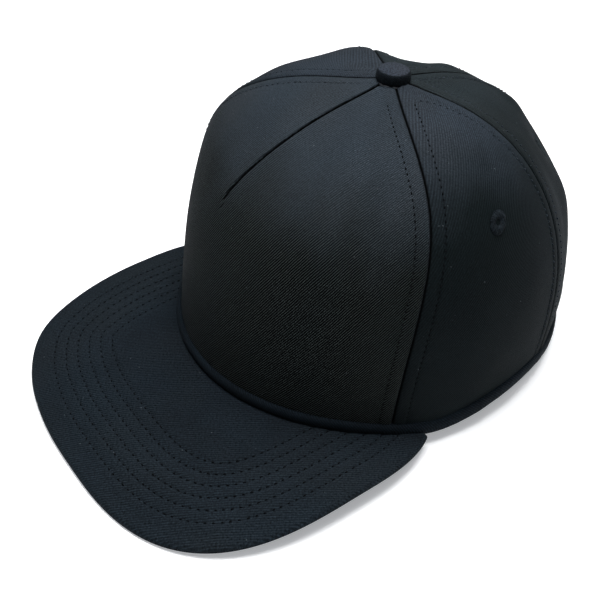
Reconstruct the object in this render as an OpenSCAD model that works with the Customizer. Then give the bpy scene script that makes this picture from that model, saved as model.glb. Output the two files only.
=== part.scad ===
// Bump cap: a flat-peak textile cap worn over a removable hard shell insert.
// Everything is drawn in the cap's own frame (rim plane at height 0, peak towards -Y,
// wearer's left at +X) and then leaned back so that it rests on the tip of the peak
// and on the rear of its rim.

/* [Crown] */
// Half of the crown's width at the rim
crown_half_w = 90; // [80:1:98]
// Distance from the crown's axis to its front at the rim
crown_front = 93; // [84:1:100]
// Distance from the crown's axis to its back at the rim
crown_back = 110.5; // [100:1:118]
// Roundness of the rim's outline, where 2 is an ellipse
rim_round = 1.97; // [1.9:0.01:2.3]
// Height of the crown from its rim to its top
crown_h = 127; // [110:1:140]
// How far the crown's top leans back
crown_lean = 4.6; // [0:0.2:10]
// Thickness of the crown fabric
fabric_t = 1.2; // [0.8:0.1:1.6]
// Angle from the front to the seam between front and side panels
front_seam_a = 58; // [50:1:66]
// Angle from the front to the seam between side and rear panels
rear_seam_a = 118; // [108:1:126]

/* [Peak] */
// Half of the peak's width
peak_half_w = 95.5; // [90:0.5:100]
// Reach of the peak ahead of its widest line
peak_reach = 89.5; // [80:0.5:95]
// Thickness of the stiff board inside the peak
board_t = 2; // [1.6:0.1:2.4]
// Thickness of each fabric cover of the peak
cover_t = 0.8; // [0.5:0.1:1.0]

/* [Rim and sweatband] */
// Height of the rolled rim
rim_h = 4; // [3:0.5:5]
// How far the rolled rim stands out from the panels
rim_out = 1.2; // [0.8:0.1:1.6]
// Height of the sweatband
band_h = 26; // [20:1:28]
// Thickness of the sweatband's foam
band_foam_t = 2; // [1:0.25:2]
// Half angle of the opening at the back
arch_a = 28; // [24:1:32]
// Height of the opening at the back
arch_h = 48; // [40:1:52]

/* [Back strap] */
// Width of the strap
strap_w = 18; // [14:1:20]
// Thickness of the strap
strap_t = 1.4; // [1.2:0.1:1.5]
// Number of snap positions
snap_count = 7; // [5:1:7]
// Distance between snaps
snap_pitch = 6.5; // [6:0.25:6.75]
// Radius of the holes
snap_hole_r = 2.1; // [2:0.05:2.3]
// Radius of the pegs
peg_r = 1.6; // [1.4:0.05:1.7]

/* [Hard shell] */
// Thickness of the shell
shell_t = 1.8; // [1.5:0.1:2]
// Thickness of the foam pads under it
pad_t = 5; // [3:0.5:6]

/* [Hidden] */

// Superellipse power of the crown's profile: mean, and its change from back to front and to the sides
profile_mean = 3.06;
profile_front = 0.6;
profile_side = 0.5;
// How far the crown's top is drawn up to a point, on average and more at the front
peak_up = 0.05;
peak_up_front = 0.06;
// How far the side seams bow out between the rim and the top
seam_bow = 3.5;
// Rows and columns of the panel grids
rows = 15;
// Radius of the opening left at the crown's top, as a share of the rim's
top_open = 0.034;

// Layers inside the crown, as depths below its outer surface
buckram_t = 1;
tape_t = 0.6;
tape_gap = 0.2;
tape_half_w = 5;
patch_t = 1;
patch_gap = 0.8;
band_skin_t = 0.5;
band_in = 3.2;
lining_in = band_in + band_skin_t + band_foam_t;
band_end = lining_in + band_skin_t;
shell_in = band_end + 0.7;
over_buckram = fabric_t + buckram_t + tape_gap;
patch_in = over_buckram + tape_t + patch_gap;
hook_in = patch_in + patch_t + tape_gap;
shell_top_in = hook_in + patch_t + tape_gap + 0.2;

// The peak's outline and surface
peak_mid = -76;
peak_power = 2.82;
peak_tail = 67.5;
peak_tail_power = 4;
peak_end_a = 120;
peak_wrap_a = 71;
peak_rise = 18.5;
peak_drop = 32;
peak_twist = 6.8;
peak_t = board_t + 2 * cover_t;
peak_gap = 0.15;

// The opening at the back
arch_edge = 4;
arch_edge_a = 2.2;
rim_end_a = 180 - arch_a;
strap_low = 7;
strap_bend_x = 27;
snap_gap = 0.25;
strap_in = 1.7;

// Resting: the front of the peak and the rear ends of the rim touch the ground
peak_cols = 28;
rear_y = rim_point(rim_end_a, -rim_out)[1];
lean_at = function (p) atan((peak_t - peak_z(p[0], p[1])) / (rear_y - p[1]));
rest_tilt = max([for (j = [0:peak_cols / 2]) lean_at(peak_edge(peak_end_a * 2 * j / peak_cols))]);
rest_lift = rear_y * sin(rest_tilt);
rest_y = 29.49;

// Outline of the crown at the rim, its profile, and a point on a layer of it
function crown_r(a) =
  pow(pow(abs(sin(a)) / crown_half_w, rim_round)
    + pow(abs(cos(a)) / (cos(a) > 0 ? crown_front : crown_back), rim_round), -1 / rim_round);
function profile(a) = profile_mean + profile_front * cos(a) - profile_side * cos(2 * a);
function rise(a, s) = pow(sin(90 * s), 2 / profile(a));
function spread(a, s) = pow(cos(90 * s), 2 / profile(a));
function low_s(a, share) = asin(pow(share, profile(a) / 2)) / 90;
function top_s(a, share) = acos(pow(share, profile(a) / 2)) / 90;
function crown_point(a, s, depth, top_depth) =
  let (
    q = spread(a, s),
    r = (crown_r(a) - depth) * q,
    up = (rise(a, s) - (peak_up + peak_up_front * cos(a)) * q * (1 - pow(q, 5))),
    z = rim_h + (crown_h - rim_h - top_depth) * up
  ) [r * sin(a), crown_lean * (z - rim_h) / crown_h - r * cos(a), z];
function mix(a, b, f) = a + (b - a) * f;

// Columns across each panel, as angles that follow its seams
function front_seam(s) = front_seam_a + seam_bow * sin(180 * s);
function front_col(f) = function (s) mix(-front_seam(s), front_seam(s), f);
function side_col(f) = function (s) mix(front_seam(s), rear_seam_a, f);
function flat_col(a) = function (s) a;

// A closed sheet between an outer and an inner grid of points, with some cells left open
module sheet(outer, inner, ring = false, open = function (i, j) false) {
  n = len(outer);
  m = len(outer[0]);
  cells = ring ? m : m - 1;
  gone = function (i, j) i < 0 || i >= n - 1 || (!ring && (j < 0 || j >= cells)) || open(i, (j + m) % m);
  o = function (i, j) i * m + (j % m);
  k = function (i, j) n * m + i * m + (j % m);
  quads = [
    for (i = [0:n - 2]) for (j = [0:cells - 1]) if (!gone(i, j)) each [
      [o(i, j), o(i + 1, j), o(i + 1, j + 1), o(i, j + 1)],
      [k(i, j), k(i, j + 1), k(i + 1, j + 1), k(i + 1, j)],
      if (gone(i - 1, j)) [o(i, j), o(i, j + 1), k(i, j + 1), k(i, j)],
      if (gone(i + 1, j)) [o(i + 1, j + 1), o(i + 1, j), k(i + 1, j), k(i + 1, j + 1)],
      if (gone(i, j - 1)) [o(i, j), k(i, j), k(i + 1, j), o(i + 1, j)],
      if (gone(i, j + 1)) [o(i, j + 1), o(i + 1, j + 1), k(i + 1, j + 1), k(i, j + 1)]
    ]
  ];
  polyhedron([each each outer, each each inner], [for (q = quads) each [[q[0], q[1], q[2]], [q[0], q[2], q[3]]]]);
}

// A layer of the crown: columns of angles, the rows' lower and upper ends for each column,
// and which of the n rows it takes
module crown_layer(
  cols, low, high, n, depth, t,
  ring = false, top = undef, first = 0, last = undef, open = function (i, j) false
) {
  grid = function (d, e) [
    for (i = [first:is_undef(last) ? n : last]) [
      for (c = cols)
        let (a0 = c(0), s = mix(low(a0), high(a0), i / n)) crown_point(c(s), s, d, e)
    ]
  ];
  top_depth = is_undef(top) ? depth : top;
  sheet(grid(depth, top_depth), grid(depth + t, top_depth + t), ring, open);
}
function from_rim() = function (a) 0;
function from_share(share) = function (a) low_s(a, share);
function to_top(share = top_open) = function (a) top_s(a, share);

// Fabric panels
front_cols = 20;
side_cols = 9;
module front_panel() color("#1d2228")
  crown_layer([for (j = [0:front_cols]) front_col(j / front_cols)], from_rim(), to_top(), rows, 0, fabric_t);
module side_panel() {
  difference() {
    crown_layer([for (j = [0:side_cols]) side_col(j / side_cols)], from_rim(), to_top(), rows, 0, fabric_t);
    at_crown(side_eyelet_a, side_eyelet_s) eyelet_hole();
  }
}
// Where the rear panel's lower edge lies: the rim, then the edge of the opening
arch_steps = 6;
outer_arch_a = arch_a + arch_edge_a;
outer_arch_h = arch_h + arch_edge;
rear_angles = [
  for (j = [0:3]) mix(rear_seam_a, 180 - outer_arch_a, j / 4),
  for (j = [0:arch_steps]) 180 - outer_arch_a * cos(90 * j / arch_steps)
];
function arch_share(a, half, height) =
  let (f = (180 - abs(a)) / half) f < 1 ? height * sqrt(1 - f * f) / crown_h : 0;
over_arch = function (a) low_s(a, arch_share(a, outer_arch_a, outer_arch_h));
module rear_panel() {
  difference() {
    crown_layer([for (a = rear_angles) flat_col(a)], over_arch, to_top(), rows, 0, fabric_t);
    at_crown(rear_eyelet_a, rear_eyelet_s) eyelet_hole();
  }
}
module left_side_panel() color("#20262c") side_panel();
module right_side_panel() color("#20262c") mirror([1, 0, 0]) side_panel();
module left_rear_panel() color("#1e242a") rear_panel();
module right_rear_panel() color("#1e242a") mirror([1, 0, 0]) rear_panel();

// Stiffener behind the front panel, a column short of each seam and clear of the sweatband
module front_buckram() color("#d8d6cc")
  crown_layer([for (j = [1:front_cols - 1]) front_col(j / front_cols)], from_rim(), to_top(),
    rows, fabric_t, buckram_t, first = 3, last = rows - 2);

// Tapes sewn over the seams' allowances
module seam_tape(col, depth, low = from_share(0.27), n = 10) {
  span = function (s, side) col(s) + side * tape_half_w / (crown_r(col(s)) * spread(col(s), s)) * 180 / PI;
  cols = [for (side = [-1, 0, 1]) function (s) span(s, side)];
  grid = function (d) [
    for (i = [0:n]) let (s = mix(low(col(0)), top_s(col(0), 0.16), i / n)) [for (c = cols) crown_point(c(s), s, d, d)]
  ];
  sheet(grid(depth), grid(depth + tape_t));
}
under_fabric = fabric_t + tape_gap;
over_dart = from_share(0.6);
module dart_tape() color("#2b2f34") seam_tape(flat_col(0), over_buckram, over_dart, 6);
module left_front_tape() color("#2b2f34") seam_tape(front_col(1), over_buckram);
module right_front_tape() color("#2b2f34") mirror([1, 0, 0]) seam_tape(front_col(1), over_buckram);
module left_rear_tape() color("#2b2f34") seam_tape(flat_col(rear_seam_a), under_fabric);
module right_rear_tape() color("#2b2f34") mirror([1, 0, 0]) seam_tape(flat_col(rear_seam_a), under_fabric);
module centre_back_tape() color("#2b2f34")
  seam_tape(flat_col(180), under_fabric, from_share((outer_arch_h + 3) / crown_h), 7);

// Button on top of the crown: covered dome, its shell, and the prong through the fabric
button_r = 8.3;
button_h = 5.2;
button_z = crown_h - 0.6;
prong_r = 1.5;
washer_r = 6.5;
module at_top() translate([0, crown_lean * (crown_h - rim_h) / crown_h, button_z]) children();
module dome(r, h, foot) rotate_extrude($fn = 48) intersection() {
  translate([0, foot - (r * r - h * h) / (2 * h)]) circle((r * r + h * h) / (2 * h), $fn = 120);
  translate([0, foot]) square([r, h]);
}
module button_cover() color("#23282e") at_top() difference() {
  dome(button_r, button_h, 0.8);
  dome(button_r - 0.9, button_h - 0.9, 0.8);
}
module button_shell() color("#9a9ea3") at_top() difference() {
  dome(button_r - 0.9, button_h - 0.9, 0.8);
  cylinder(r = prong_r, h = 3, $fn = 32);
}
module button_prong() color("#b0b3b8") at_top() {
  translate([0, 0, -3]) cylinder(r = prong_r, h = 6, $fn = 32);
  translate([0, 0, -4]) cylinder(r = washer_r, h = 1, $fn = 48);
}

// Stitched eyelets in the side and rear panels
side_eyelet_a = 88;
side_eyelet_s = low_s(side_eyelet_a, 0.79);
rear_eyelet_a = 150;
rear_eyelet_s = low_s(rear_eyelet_a, 0.74);
eyelet_hole_r = 3.4;
module at_crown(a, s) {
  step = 0.01;
  across = crown_point(a + 1, s, 0, 0) - crown_point(a - 1, s, 0, 0);
  along = crown_point(a, s + step, 0, 0) - crown_point(a, s - step, 0, 0);
  out = cross(across, along) / norm(cross(across, along));
  translate(crown_point(a, s, fabric_t / 2, fabric_t / 2))
    rotate([0, acos(out[2]), atan2(out[1], out[0])])
      children();
}
module eyelet_hole() cylinder(r = eyelet_hole_r, h = 12, center = true, $fn = 32);
module eyelet(a, s) color("#15191d") at_crown(a, s) rotate_extrude($fn = 32) difference() {
  translate([1.8, -1]) square([eyelet_hole_r - 1.8, 2]);
  translate([1.8, 0]) circle(0.5, $fn = 16);
}
module left_side_eyelet() eyelet(side_eyelet_a, side_eyelet_s);
module right_side_eyelet() mirror([1, 0, 0]) eyelet(side_eyelet_a, side_eyelet_s);
module left_rear_eyelet() eyelet(rear_eyelet_a, rear_eyelet_s);
module right_rear_eyelet() mirror([1, 0, 0]) eyelet(rear_eyelet_a, rear_eyelet_s);

// A band that follows the rim between two angles, drawn in plan
function rim_point(a, depth) = [(crown_r(a) - depth) * sin(a), -(crown_r(a) - depth) * cos(a)];
module rim_band(a0, a1, depth, t, n) {
  angles = [for (i = [0:n]) mix(a0, a1, i / n)];
  polygon([for (a = angles) rim_point(a, depth), for (i = [n:-1:0]) rim_point(angles[i], depth + t)]);
}
band_steps = 96;
module rim_roll() color("#1a1f25")
  linear_extrude(rim_h) rim_band(-rim_end_a, rim_end_a, -rim_out, rim_out + 2.4, band_steps);
module sweatband_layer(depth, t) {
  end_a = rim_end_a - 4;
  translate([0, 0, rim_h]) linear_extrude(band_h) rim_band(-end_a, end_a, depth, t, band_steps);
}
module sweatband_backing() color("#2a2d31") sweatband_layer(band_in, band_skin_t);
module sweatband_foam() color("#4a4d50") sweatband_layer(band_in + band_skin_t, band_foam_t);
module sweatband_lining() color("#33373c") sweatband_layer(lining_in, band_skin_t);
module care_label() color("#e4e2da")
  translate([0, 0, rim_h + 5]) linear_extrude(16) rim_band(128, 142, band_end + 0.1, 0.3, 6);

// Binding round the opening at the back
module arch_binding() color("#1a1f25") {
  steps = 2 * arch_steps;
  edge = function (half, height, d) [
    for (i = [0:steps])
      let (a = 180 - half * cos(180 * i / steps), share = height * sin(180 * i / steps) / crown_h)
        crown_point(a, low_s(a, share), d, d)
  ];
  sheet([edge(arch_a, arch_h, -0.6), edge(outer_arch_a, outer_arch_h, -0.6)],
    [edge(arch_a, arch_h, fabric_t), edge(outer_arch_a, outer_arch_h, fabric_t)]);
}

// Patches that hold the shell under the top of the crown
patch_cols = [for (a = [0:15:345]) flat_col(a)];
module patch(depth) crown_layer(patch_cols, to_top(0.3), to_top(0.13), 2, depth, patch_t, true);
module crown_loop_patch() color("#15181b") patch(patch_in);
module shell_hook_patch() color("#0f1113") patch(hook_in);

// Peak: a stiff board between two covers, on one gently bent surface
function peak_z(x, y) =
  let (u = (-y - 31) / 134, v = pow(x / 93, 2)) peak_rise * u - peak_drop * u * u - peak_twist * v * u;
function signed_pow(v, p) = sign(v) * pow(abs(v), p);
function peak_edge(w) =
  let (front = cos(w) >= 0, reach = front ? peak_reach : peak_tail, power = front ? peak_power : peak_tail_power)
    [peak_half_w * signed_pow(sin(w), 2 / peak_power), peak_mid - reach * signed_pow(cos(w), 2 / power)];
module peak_layer(drop, t) {
  n = 7;
  plan = function (i, f) mix(peak_edge(peak_end_a * f), rim_point(peak_wrap_a * f, -rim_out - peak_gap), i / n);
  grid = function (d) [
    for (i = [0:n]) [for (j = [0:peak_cols]) let (p = plan(i, 2 * j / peak_cols - 1)) [p[0], p[1], peak_z(p[0], p[1]) - d]]
  ];
  sheet(grid(drop), grid(drop + t));
}
module peak_top_cover() color("#262d36") peak_layer(0, cover_t);
module peak_board() color("#c9ccd0") peak_layer(cover_t, board_t);
module peak_under_cover() color("#20262d") peak_layer(cover_t + board_t, cover_t);

// Back strap: two plastic tongues, one with holes over one with pegs, each with a bend it flexes at
strap_y = rim_point(180 - asin(strap_bend_x / crown_back), strap_in)[1];
tongue = strap_bend_x - 3;
peg_h = 2.2;
bend_r = strap_t / 2;
bend_gap = 1;
peg_strap_y = strap_y - strap_t - snap_gap;
module strap_root(side, y) {
  a0 = rim_end_a - 9;
  steps = 8;
  end_a = 180 - asin((strap_bend_x + bend_r + bend_gap) / crown_r(165));
  depth = function (f) strap_in + (strap_y - y) * pow(f, 2);
  pts = function (d) [
    for (i = [0:steps]) let (a = mix(a0, end_a, i / steps)) rim_point(a, depth(max(0, (a - rim_end_a) / (end_a - rim_end_a))) + d)
  ];
  outer = pts(0);
  inner = pts(strap_t);
  translate([0, 0, strap_low]) linear_extrude(strap_w)
    polygon([for (p = outer) [side * p[0], p[1]], for (i = [steps:-1:0]) [side * inner[i][0], inner[i][1]]]);
}
// The free tongue, from its bend past the middle, with a round tip
module tongue_plate(side, y) translate([0, y, 0]) {
  translate([side * strap_bend_x, -bend_r, strap_low]) cylinder(r = bend_r, h = strap_w, $fn = 24);
  translate([0, -strap_t, strap_low]) difference() {
    translate([side > 0 ? -tongue + strap_w / 2 : -strap_bend_x, 0, 0])
      cube([strap_bend_x + tongue - strap_w / 2, strap_t, strap_w]);
  }
  translate([-side * (tongue - strap_w / 2), 0, strap_low + strap_w / 2]) rotate([90, 0, 0])
    cylinder(r = strap_w / 2, h = strap_t, $fn = 64);
}
module at_snaps(side, y) for (i = [0:snap_count - 1])
  translate([(i - (snap_count - 1) / 2) * snap_pitch, y, strap_low + strap_w / 2]) rotate([90, 0, 0]) children();
module hole_strap_root() color("#1b1d20") strap_root(1, strap_y);
module hole_strap_end() color("#1b1d20") difference() {
  tongue_plate(1, strap_y);
  at_snaps(1, strap_y + 1) cylinder(r = snap_hole_r, h = strap_t + 2, $fn = 32);
}
module peg_strap_root() color("#1b1d20") strap_root(-1, peg_strap_y);
module peg_strap_end() color("#1b1d20") {
  tongue_plate(-1, peg_strap_y);
  at_snaps(-1, peg_strap_y + peg_h) cylinder(r = peg_r, h = peg_h + strap_t / 2, $fn = 32);
}

// Hard shell with vent slots, and the foam pads under it
shell_low = 0.33;
shell_cols = 48;
shell_rows = 12;
shell_start = function (a) low_s(a, shell_low + 0.1 * pow((1 - cos(a)) / 2, 3));
vent_cols = [4, 7, 10, 14, 17, 20, 27, 30, 33, 37, 40, 43];
module shell_layer(depth, top, t, from_col, to_col, first, last, open = function (i, j) false) {
  ring = to_col - from_col == shell_cols;
  cols = [for (j = [from_col:ring ? to_col - 1 : to_col]) flat_col(360 * j / shell_cols)];
  crown_layer(cols, shell_start, to_top(0.05), shell_rows, depth, t, ring, top, first, last, open);
}
module hard_shell() color("#3b4046")
  shell_layer(shell_in, shell_top_in, shell_t, 0, shell_cols, 0, shell_rows,
    function (i, j) i >= 5 && i <= 7 && len([for (v = vent_cols) if (v == j) 1]) > 0);
module pad(from_col, to_col, first, last) color("#5b6067")
  shell_layer(shell_in + shell_t, shell_top_in + shell_t, pad_t, from_col, to_col, first, last);
module crown_pad() pad(0, shell_cols, 9, shell_rows);
module front_pad() pad(-4, 4, 1, 7);
module rear_pad() pad(20, 28, 1, 6);
module left_pad() pad(8, 16, 1, 7);
module right_pad() pad(32, 40, 1, 7);

// The whole cap leans back onto the tip of its peak and the rear of its rim
module rest() translate([0, rest_y, rest_lift]) rotate([-rest_tilt, 0, 0]) children();

rest() front_panel();
rest() left_side_panel();
rest() right_side_panel();
rest() left_rear_panel();
rest() right_rear_panel();
rest() front_buckram();
rest() dart_tape();
rest() left_front_tape();
rest() right_front_tape();
rest() left_rear_tape();
rest() right_rear_tape();
rest() centre_back_tape();
rest() button_cover();
rest() button_shell();
rest() button_prong();
rest() left_side_eyelet();
rest() right_side_eyelet();
rest() left_rear_eyelet();
rest() right_rear_eyelet();
rest() rim_roll();
rest() arch_binding();
rest() sweatband_backing();
rest() sweatband_foam();
rest() sweatband_lining();
rest() care_label();
rest() crown_loop_patch();
rest() peak_top_cover();
rest() peak_board();
rest() peak_under_cover();
rest() hole_strap_root();
rest() hole_strap_end();
rest() peg_strap_root();
rest() peg_strap_end();
rest() hard_shell();
rest() shell_hook_patch();
rest() crown_pad();
rest() front_pad();
rest() rear_pad();
rest() left_pad();
rest() right_pad();
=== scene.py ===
"""Bump cap: a flat-peak textile cap over a removable hard shell, drawn round the CAD frame."""
import math

import bpy
import numpy as np
from mathutils import Matrix

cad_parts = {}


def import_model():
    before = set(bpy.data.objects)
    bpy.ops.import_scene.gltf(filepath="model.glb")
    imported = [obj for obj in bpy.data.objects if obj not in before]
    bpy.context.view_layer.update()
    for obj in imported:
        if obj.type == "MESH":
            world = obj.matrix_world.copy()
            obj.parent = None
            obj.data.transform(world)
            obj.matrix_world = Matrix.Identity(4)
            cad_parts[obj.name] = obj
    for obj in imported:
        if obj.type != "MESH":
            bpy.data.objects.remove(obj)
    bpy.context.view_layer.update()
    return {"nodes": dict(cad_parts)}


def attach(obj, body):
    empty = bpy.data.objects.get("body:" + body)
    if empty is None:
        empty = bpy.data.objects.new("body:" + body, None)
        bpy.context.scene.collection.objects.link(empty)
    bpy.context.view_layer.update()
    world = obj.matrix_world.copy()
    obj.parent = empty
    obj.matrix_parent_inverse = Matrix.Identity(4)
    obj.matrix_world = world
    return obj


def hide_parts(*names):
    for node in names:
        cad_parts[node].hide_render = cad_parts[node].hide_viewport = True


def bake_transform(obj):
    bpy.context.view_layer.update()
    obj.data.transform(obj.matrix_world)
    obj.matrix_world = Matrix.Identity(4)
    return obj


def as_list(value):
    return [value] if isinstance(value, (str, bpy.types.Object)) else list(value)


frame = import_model()

# ---------------------------------------------------------------- frame of the cap
# Lengths are millimetres in the cap's own frame (rim plane at 0, peak towards -Y) until world().
MM = 0.001
TILT = math.radians(3.92701)
REST = np.array([0.0, 29.49, 6.38])


def turn(v):
    v = np.asarray(v, float)
    c, s = math.cos(TILT), math.sin(TILT)
    return np.stack([v[..., 0], v[..., 1] * c + v[..., 2] * s, v[..., 2] * c - v[..., 1] * s], -1)


def world(v):
    return (turn(v) + REST) * MM


# ---------------------------------------------------------------- camera
def place_camera():
    """The photo's viewing angle and distance, from the same fit as the crown's sizes."""
    az, el, roll = map(math.radians, (51.85, 38.06, 4.1))
    dist, lens = 475.0, 58.57
    back = np.array([math.sin(az) * math.cos(el), -math.cos(az) * math.cos(el), math.sin(el)])
    right = np.array([math.cos(az), math.sin(az), 0.0])
    up = np.cross(back, right)
    right, up = right * math.cos(roll) + up * math.sin(roll), up * math.cos(roll) - right * math.sin(roll)
    eye = world(np.array([0.5, -39.22, 22.16]) + back * dist)
    data = bpy.data.cameras.new("camera")
    data.lens, data.sensor_width, data.clip_start = lens, 36.0, 0.01
    cam = bpy.data.objects.new("camera", data)
    bpy.context.scene.collection.objects.link(cam)
    m = np.eye(4)
    m[:3, 0], m[:3, 1], m[:3, 2], m[:3, 3] = turn(right), turn(up), turn(back), eye
    cam.matrix_world = Matrix(m.tolist())
    bpy.context.scene.camera = cam


place_camera()

# ---------------------------------------------------------------- noise
RNG = np.random.default_rng(11)
LATTICE = RNG.uniform(-1, 1, (24, 24, 24))


def noise(p, size, seed=0):
    """Smooth noise in -1..1 whose features are about size across."""
    q = np.asarray(p, float) / size + seed * 7.31
    i = np.floor(q).astype(int)
    f = q - i
    f = f * f * (3 - 2 * f)
    out = 0
    for dx in (0, 1):
        for dy in (0, 1):
            for dz in (0, 1):
                w = (f[..., 0] if dx else 1 - f[..., 0]) * (f[..., 1] if dy else 1 - f[..., 1])
                w = w * (f[..., 2] if dz else 1 - f[..., 2])
                out = out + w * LATTICE[(i[..., 0] + dx) % 24, (i[..., 1] + dy) % 24, (i[..., 2] + dz) % 24]
    return out


def smooth(x, a, b):
    t = np.clip((np.asarray(x, float) - a) / (b - a), 0, 1)
    return t * t * (3 - 2 * t)


def bell(x, w):
    return np.exp(-(np.asarray(x, float) / w) ** 2)


# ---------------------------------------------------------------- crown surface
# Half width, reach to front and back, roundness, height and lean, from a fit to the outline in the photo
HALF_W, FRONT, BACK, ROUND, TOP, LEAN = 89.70, 92.82, 110.64, 1.97, 127.4, 4.57
RAD = math.pi / 180


def crown_r(a):
    back = np.where(np.cos(a) > 0, FRONT, BACK)
    return ((np.abs(np.sin(a)) / HALF_W) ** ROUND + (np.abs(np.cos(a)) / back) ** ROUND) ** (-1 / ROUND)


def profile(a):
    return 3.06 + 0.6 * np.cos(a) - 0.5 * np.cos(2 * a) - 0.3 * np.cos(3 * a)


def crown(a, s, depth=0.0, top=None):
    """Point of a layer of the crown: angle from the front, share of the way up, depth inside."""
    a, s = np.broadcast_arrays(np.asarray(a, float), np.asarray(s, float))
    top = depth if top is None else top
    m = profile(a)
    s = np.clip(s, 0, 1)
    up = np.sin(s * math.pi / 2) ** (2 / m)
    q = np.cos(s * math.pi / 2) ** (2 / m)
    r = crown_r(a) * (1 + (0.01 - 0.01 * np.cos(a) - 0.02 * np.cos(2 * a)) * np.sin(math.pi * up)) - depth
    z = (TOP - top) * (up - (0.05 + 0.06 * np.cos(a)) * q * (1 - q ** 5))
    return np.stack([r * q * np.sin(a), LEAN * z / TOP - r * q * np.cos(a), z], -1)


def share_at(a, z):
    """Share of the way up at which the crown reaches height z."""
    s = np.linspace(0, 1, 900) ** 2.2
    a, z = np.broadcast_arrays(np.asarray(a, float), np.asarray(z, float))
    flat = np.array([np.interp(h, crown(b, s)[:, 2], s) for b, h in zip(a.ravel(), z.ravel())])
    return flat.reshape(a.shape)


def crown_normal(a, s, depth=0.0):
    e = 1e-3
    s = np.clip(s, 2 * e, 1 - 2 * e)
    n = np.cross(crown(a + e, s, depth) - crown(a - e, s, depth),
                 crown(a, s + e, depth) - crown(a, s - e, depth))
    return n / np.linalg.norm(n, axis=-1, keepdims=True)


def left_seam(s):
    return RAD * (60.81 + 3.48 * np.sin(math.pi * s))


def right_seam(s):
    return -RAD * (54.08 + 3.48 * np.sin(math.pi * s))


def rear_seam(s):
    return RAD * (118.51 + 0.53 * np.sin(math.pi * s))


def dart_line(s):
    """The dart leans from the wearer's right of centre up to the button, steepest half way."""
    return RAD * (-12.3 + 11.3 * smooth(s, 0.2, 1.05))


DART_END = 0.395

def rim_low(a):
    """Lower edge of the rolled rim: on the peak in front, a dip beside it, then a rise over the ear."""
    a = np.abs(a) / RAD
    return 2.1 * (1 - smooth(a, 45, 70)) - 2.3 * bell(a - 74, 11) + 5.1 * bell(a - 110, 21)


def rim_tall(a):
    return np.interp(np.abs(a) / RAD, [0, 55, 75, 100, 125, 152], [5.2, 5.6, 7.8, 8.0, 7.4, 6.0])


# Soft swells and hollows of the unfilled crown: angle, share of the way up, height, radius
SWELLS = [(-55, 0.40, 2.5, 20), (-110, 0.75, 3.0, 14), (-145, 0.75, -1.5, 9), (-165, 0.75, 1.5, 8),
          (170, 0.60, 2.0, 10), (155, 0.50, -1.5, 11), (145, 0.35, 1.5, 14), (0, 1.00, 1.3, 12)]


def drape(p):
    """Height of the draped cloth over the plain crown at points p."""
    out = 0
    for angle, share, height, radius in SWELLS:
        gap = np.linalg.norm(p - crown(angle * RAD, share), axis=-1)
        out = out + height * bell(gap, radius)
    return out


# ---------------------------------------------------------------- mesh building
def piece(name, verts, faces, uv=None, seam=None, body="cap", smooth_shade=True):
    """A mesh object in metres from points in millimetres, with optional cloth and seam maps."""
    verts = np.asarray(verts, float).reshape(-1, 3)
    faces = np.asarray(faces, int) if not isinstance(faces, list) else faces
    me = bpy.data.meshes.new(name)
    me.from_pydata(world(verts).tolist(), [], faces.tolist() if isinstance(faces, np.ndarray) else faces)
    me.validate()
    index = np.empty(len(me.loops), int)
    me.loops.foreach_get("vertex_index", index)
    for label, values in (("cloth", uv), ("seam", seam)):
        if values is not None:
            layer = me.uv_layers.new(name=label)
            layer.data.foreach_set("uv", np.asarray(values, float).reshape(-1, 2)[index].ravel())
    me.polygons.foreach_set("use_smooth", [smooth_shade] * len(me.polygons))
    me.update()
    ob = bpy.data.objects.new(name, me)
    bpy.context.scene.collection.objects.link(ob)
    if body:
        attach(ob, body)
    return ob


def volume(verts, faces):
    v = verts[faces]
    return float(np.einsum("ij,ij->i", v[:, 0],
                           np.cross(v[:, 1], v[:, 2]) + np.cross(v[:, 2], v[:, 3])).sum())


def closed(name, outer, inner, uv=None, seam=None, ring=False, body="cap", gone=None):
    """A closed sheet between two grids of points, with walls round its edge and round cells left open."""
    n, m = outer.shape[:2]
    verts = np.concatenate([outer.reshape(-1, 3), inner.reshape(-1, 3)])
    cols = m if ring else m - 1
    there = np.ones((n - 1, cols), bool) if gone is None else ~gone
    i, j = np.nonzero(there)
    o = lambda r, c: r * m + c % m
    k = lambda r, c: n * m + r * m + c % m
    faces = [np.stack([o(i, j), o(i, j + 1), o(i + 1, j + 1), o(i + 1, j)], -1),
             np.stack([k(i, j), k(i + 1, j), k(i + 1, j + 1), k(i, j + 1)], -1)]
    padded = np.zeros((n + 1, cols + 2), bool)
    padded[1:-1, 1:-1] = there
    if ring:
        padded[1:-1, 0], padded[1:-1, -1] = there[:, -1], there[:, 0]
    below, above = ~padded[i, j + 1], ~padded[i + 2, j + 1]
    before, after = ~padded[i + 1, j], ~padded[i + 1, j + 2]
    r, c = i[below], j[below]
    faces.append(np.stack([o(r, c), k(r, c), k(r, c + 1), o(r, c + 1)], -1))
    r, c = i[above] + 1, j[above]
    faces.append(np.stack([o(r, c), o(r, c + 1), k(r, c + 1), k(r, c)], -1))
    r, c = i[before], j[before]
    faces.append(np.stack([o(r, c), o(r + 1, c), k(r + 1, c), k(r, c)], -1))
    r, c = i[after], j[after] + 1
    faces.append(np.stack([o(r, c), k(r, c), k(r + 1, c), o(r + 1, c)], -1))
    faces = np.concatenate(faces)
    used = np.unique(faces)
    renumber = np.zeros(len(verts), int)
    renumber[used] = np.arange(len(used))
    verts, faces = verts[used], renumber[faces]
    if volume(verts, faces) < 0:
        faces = faces[:, ::-1]
    twice = lambda t: None if t is None else np.concatenate([t.reshape(-1, 2)] * 2)[used]
    return piece(name, verts, faces, twice(uv), twice(seam), body)


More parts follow.
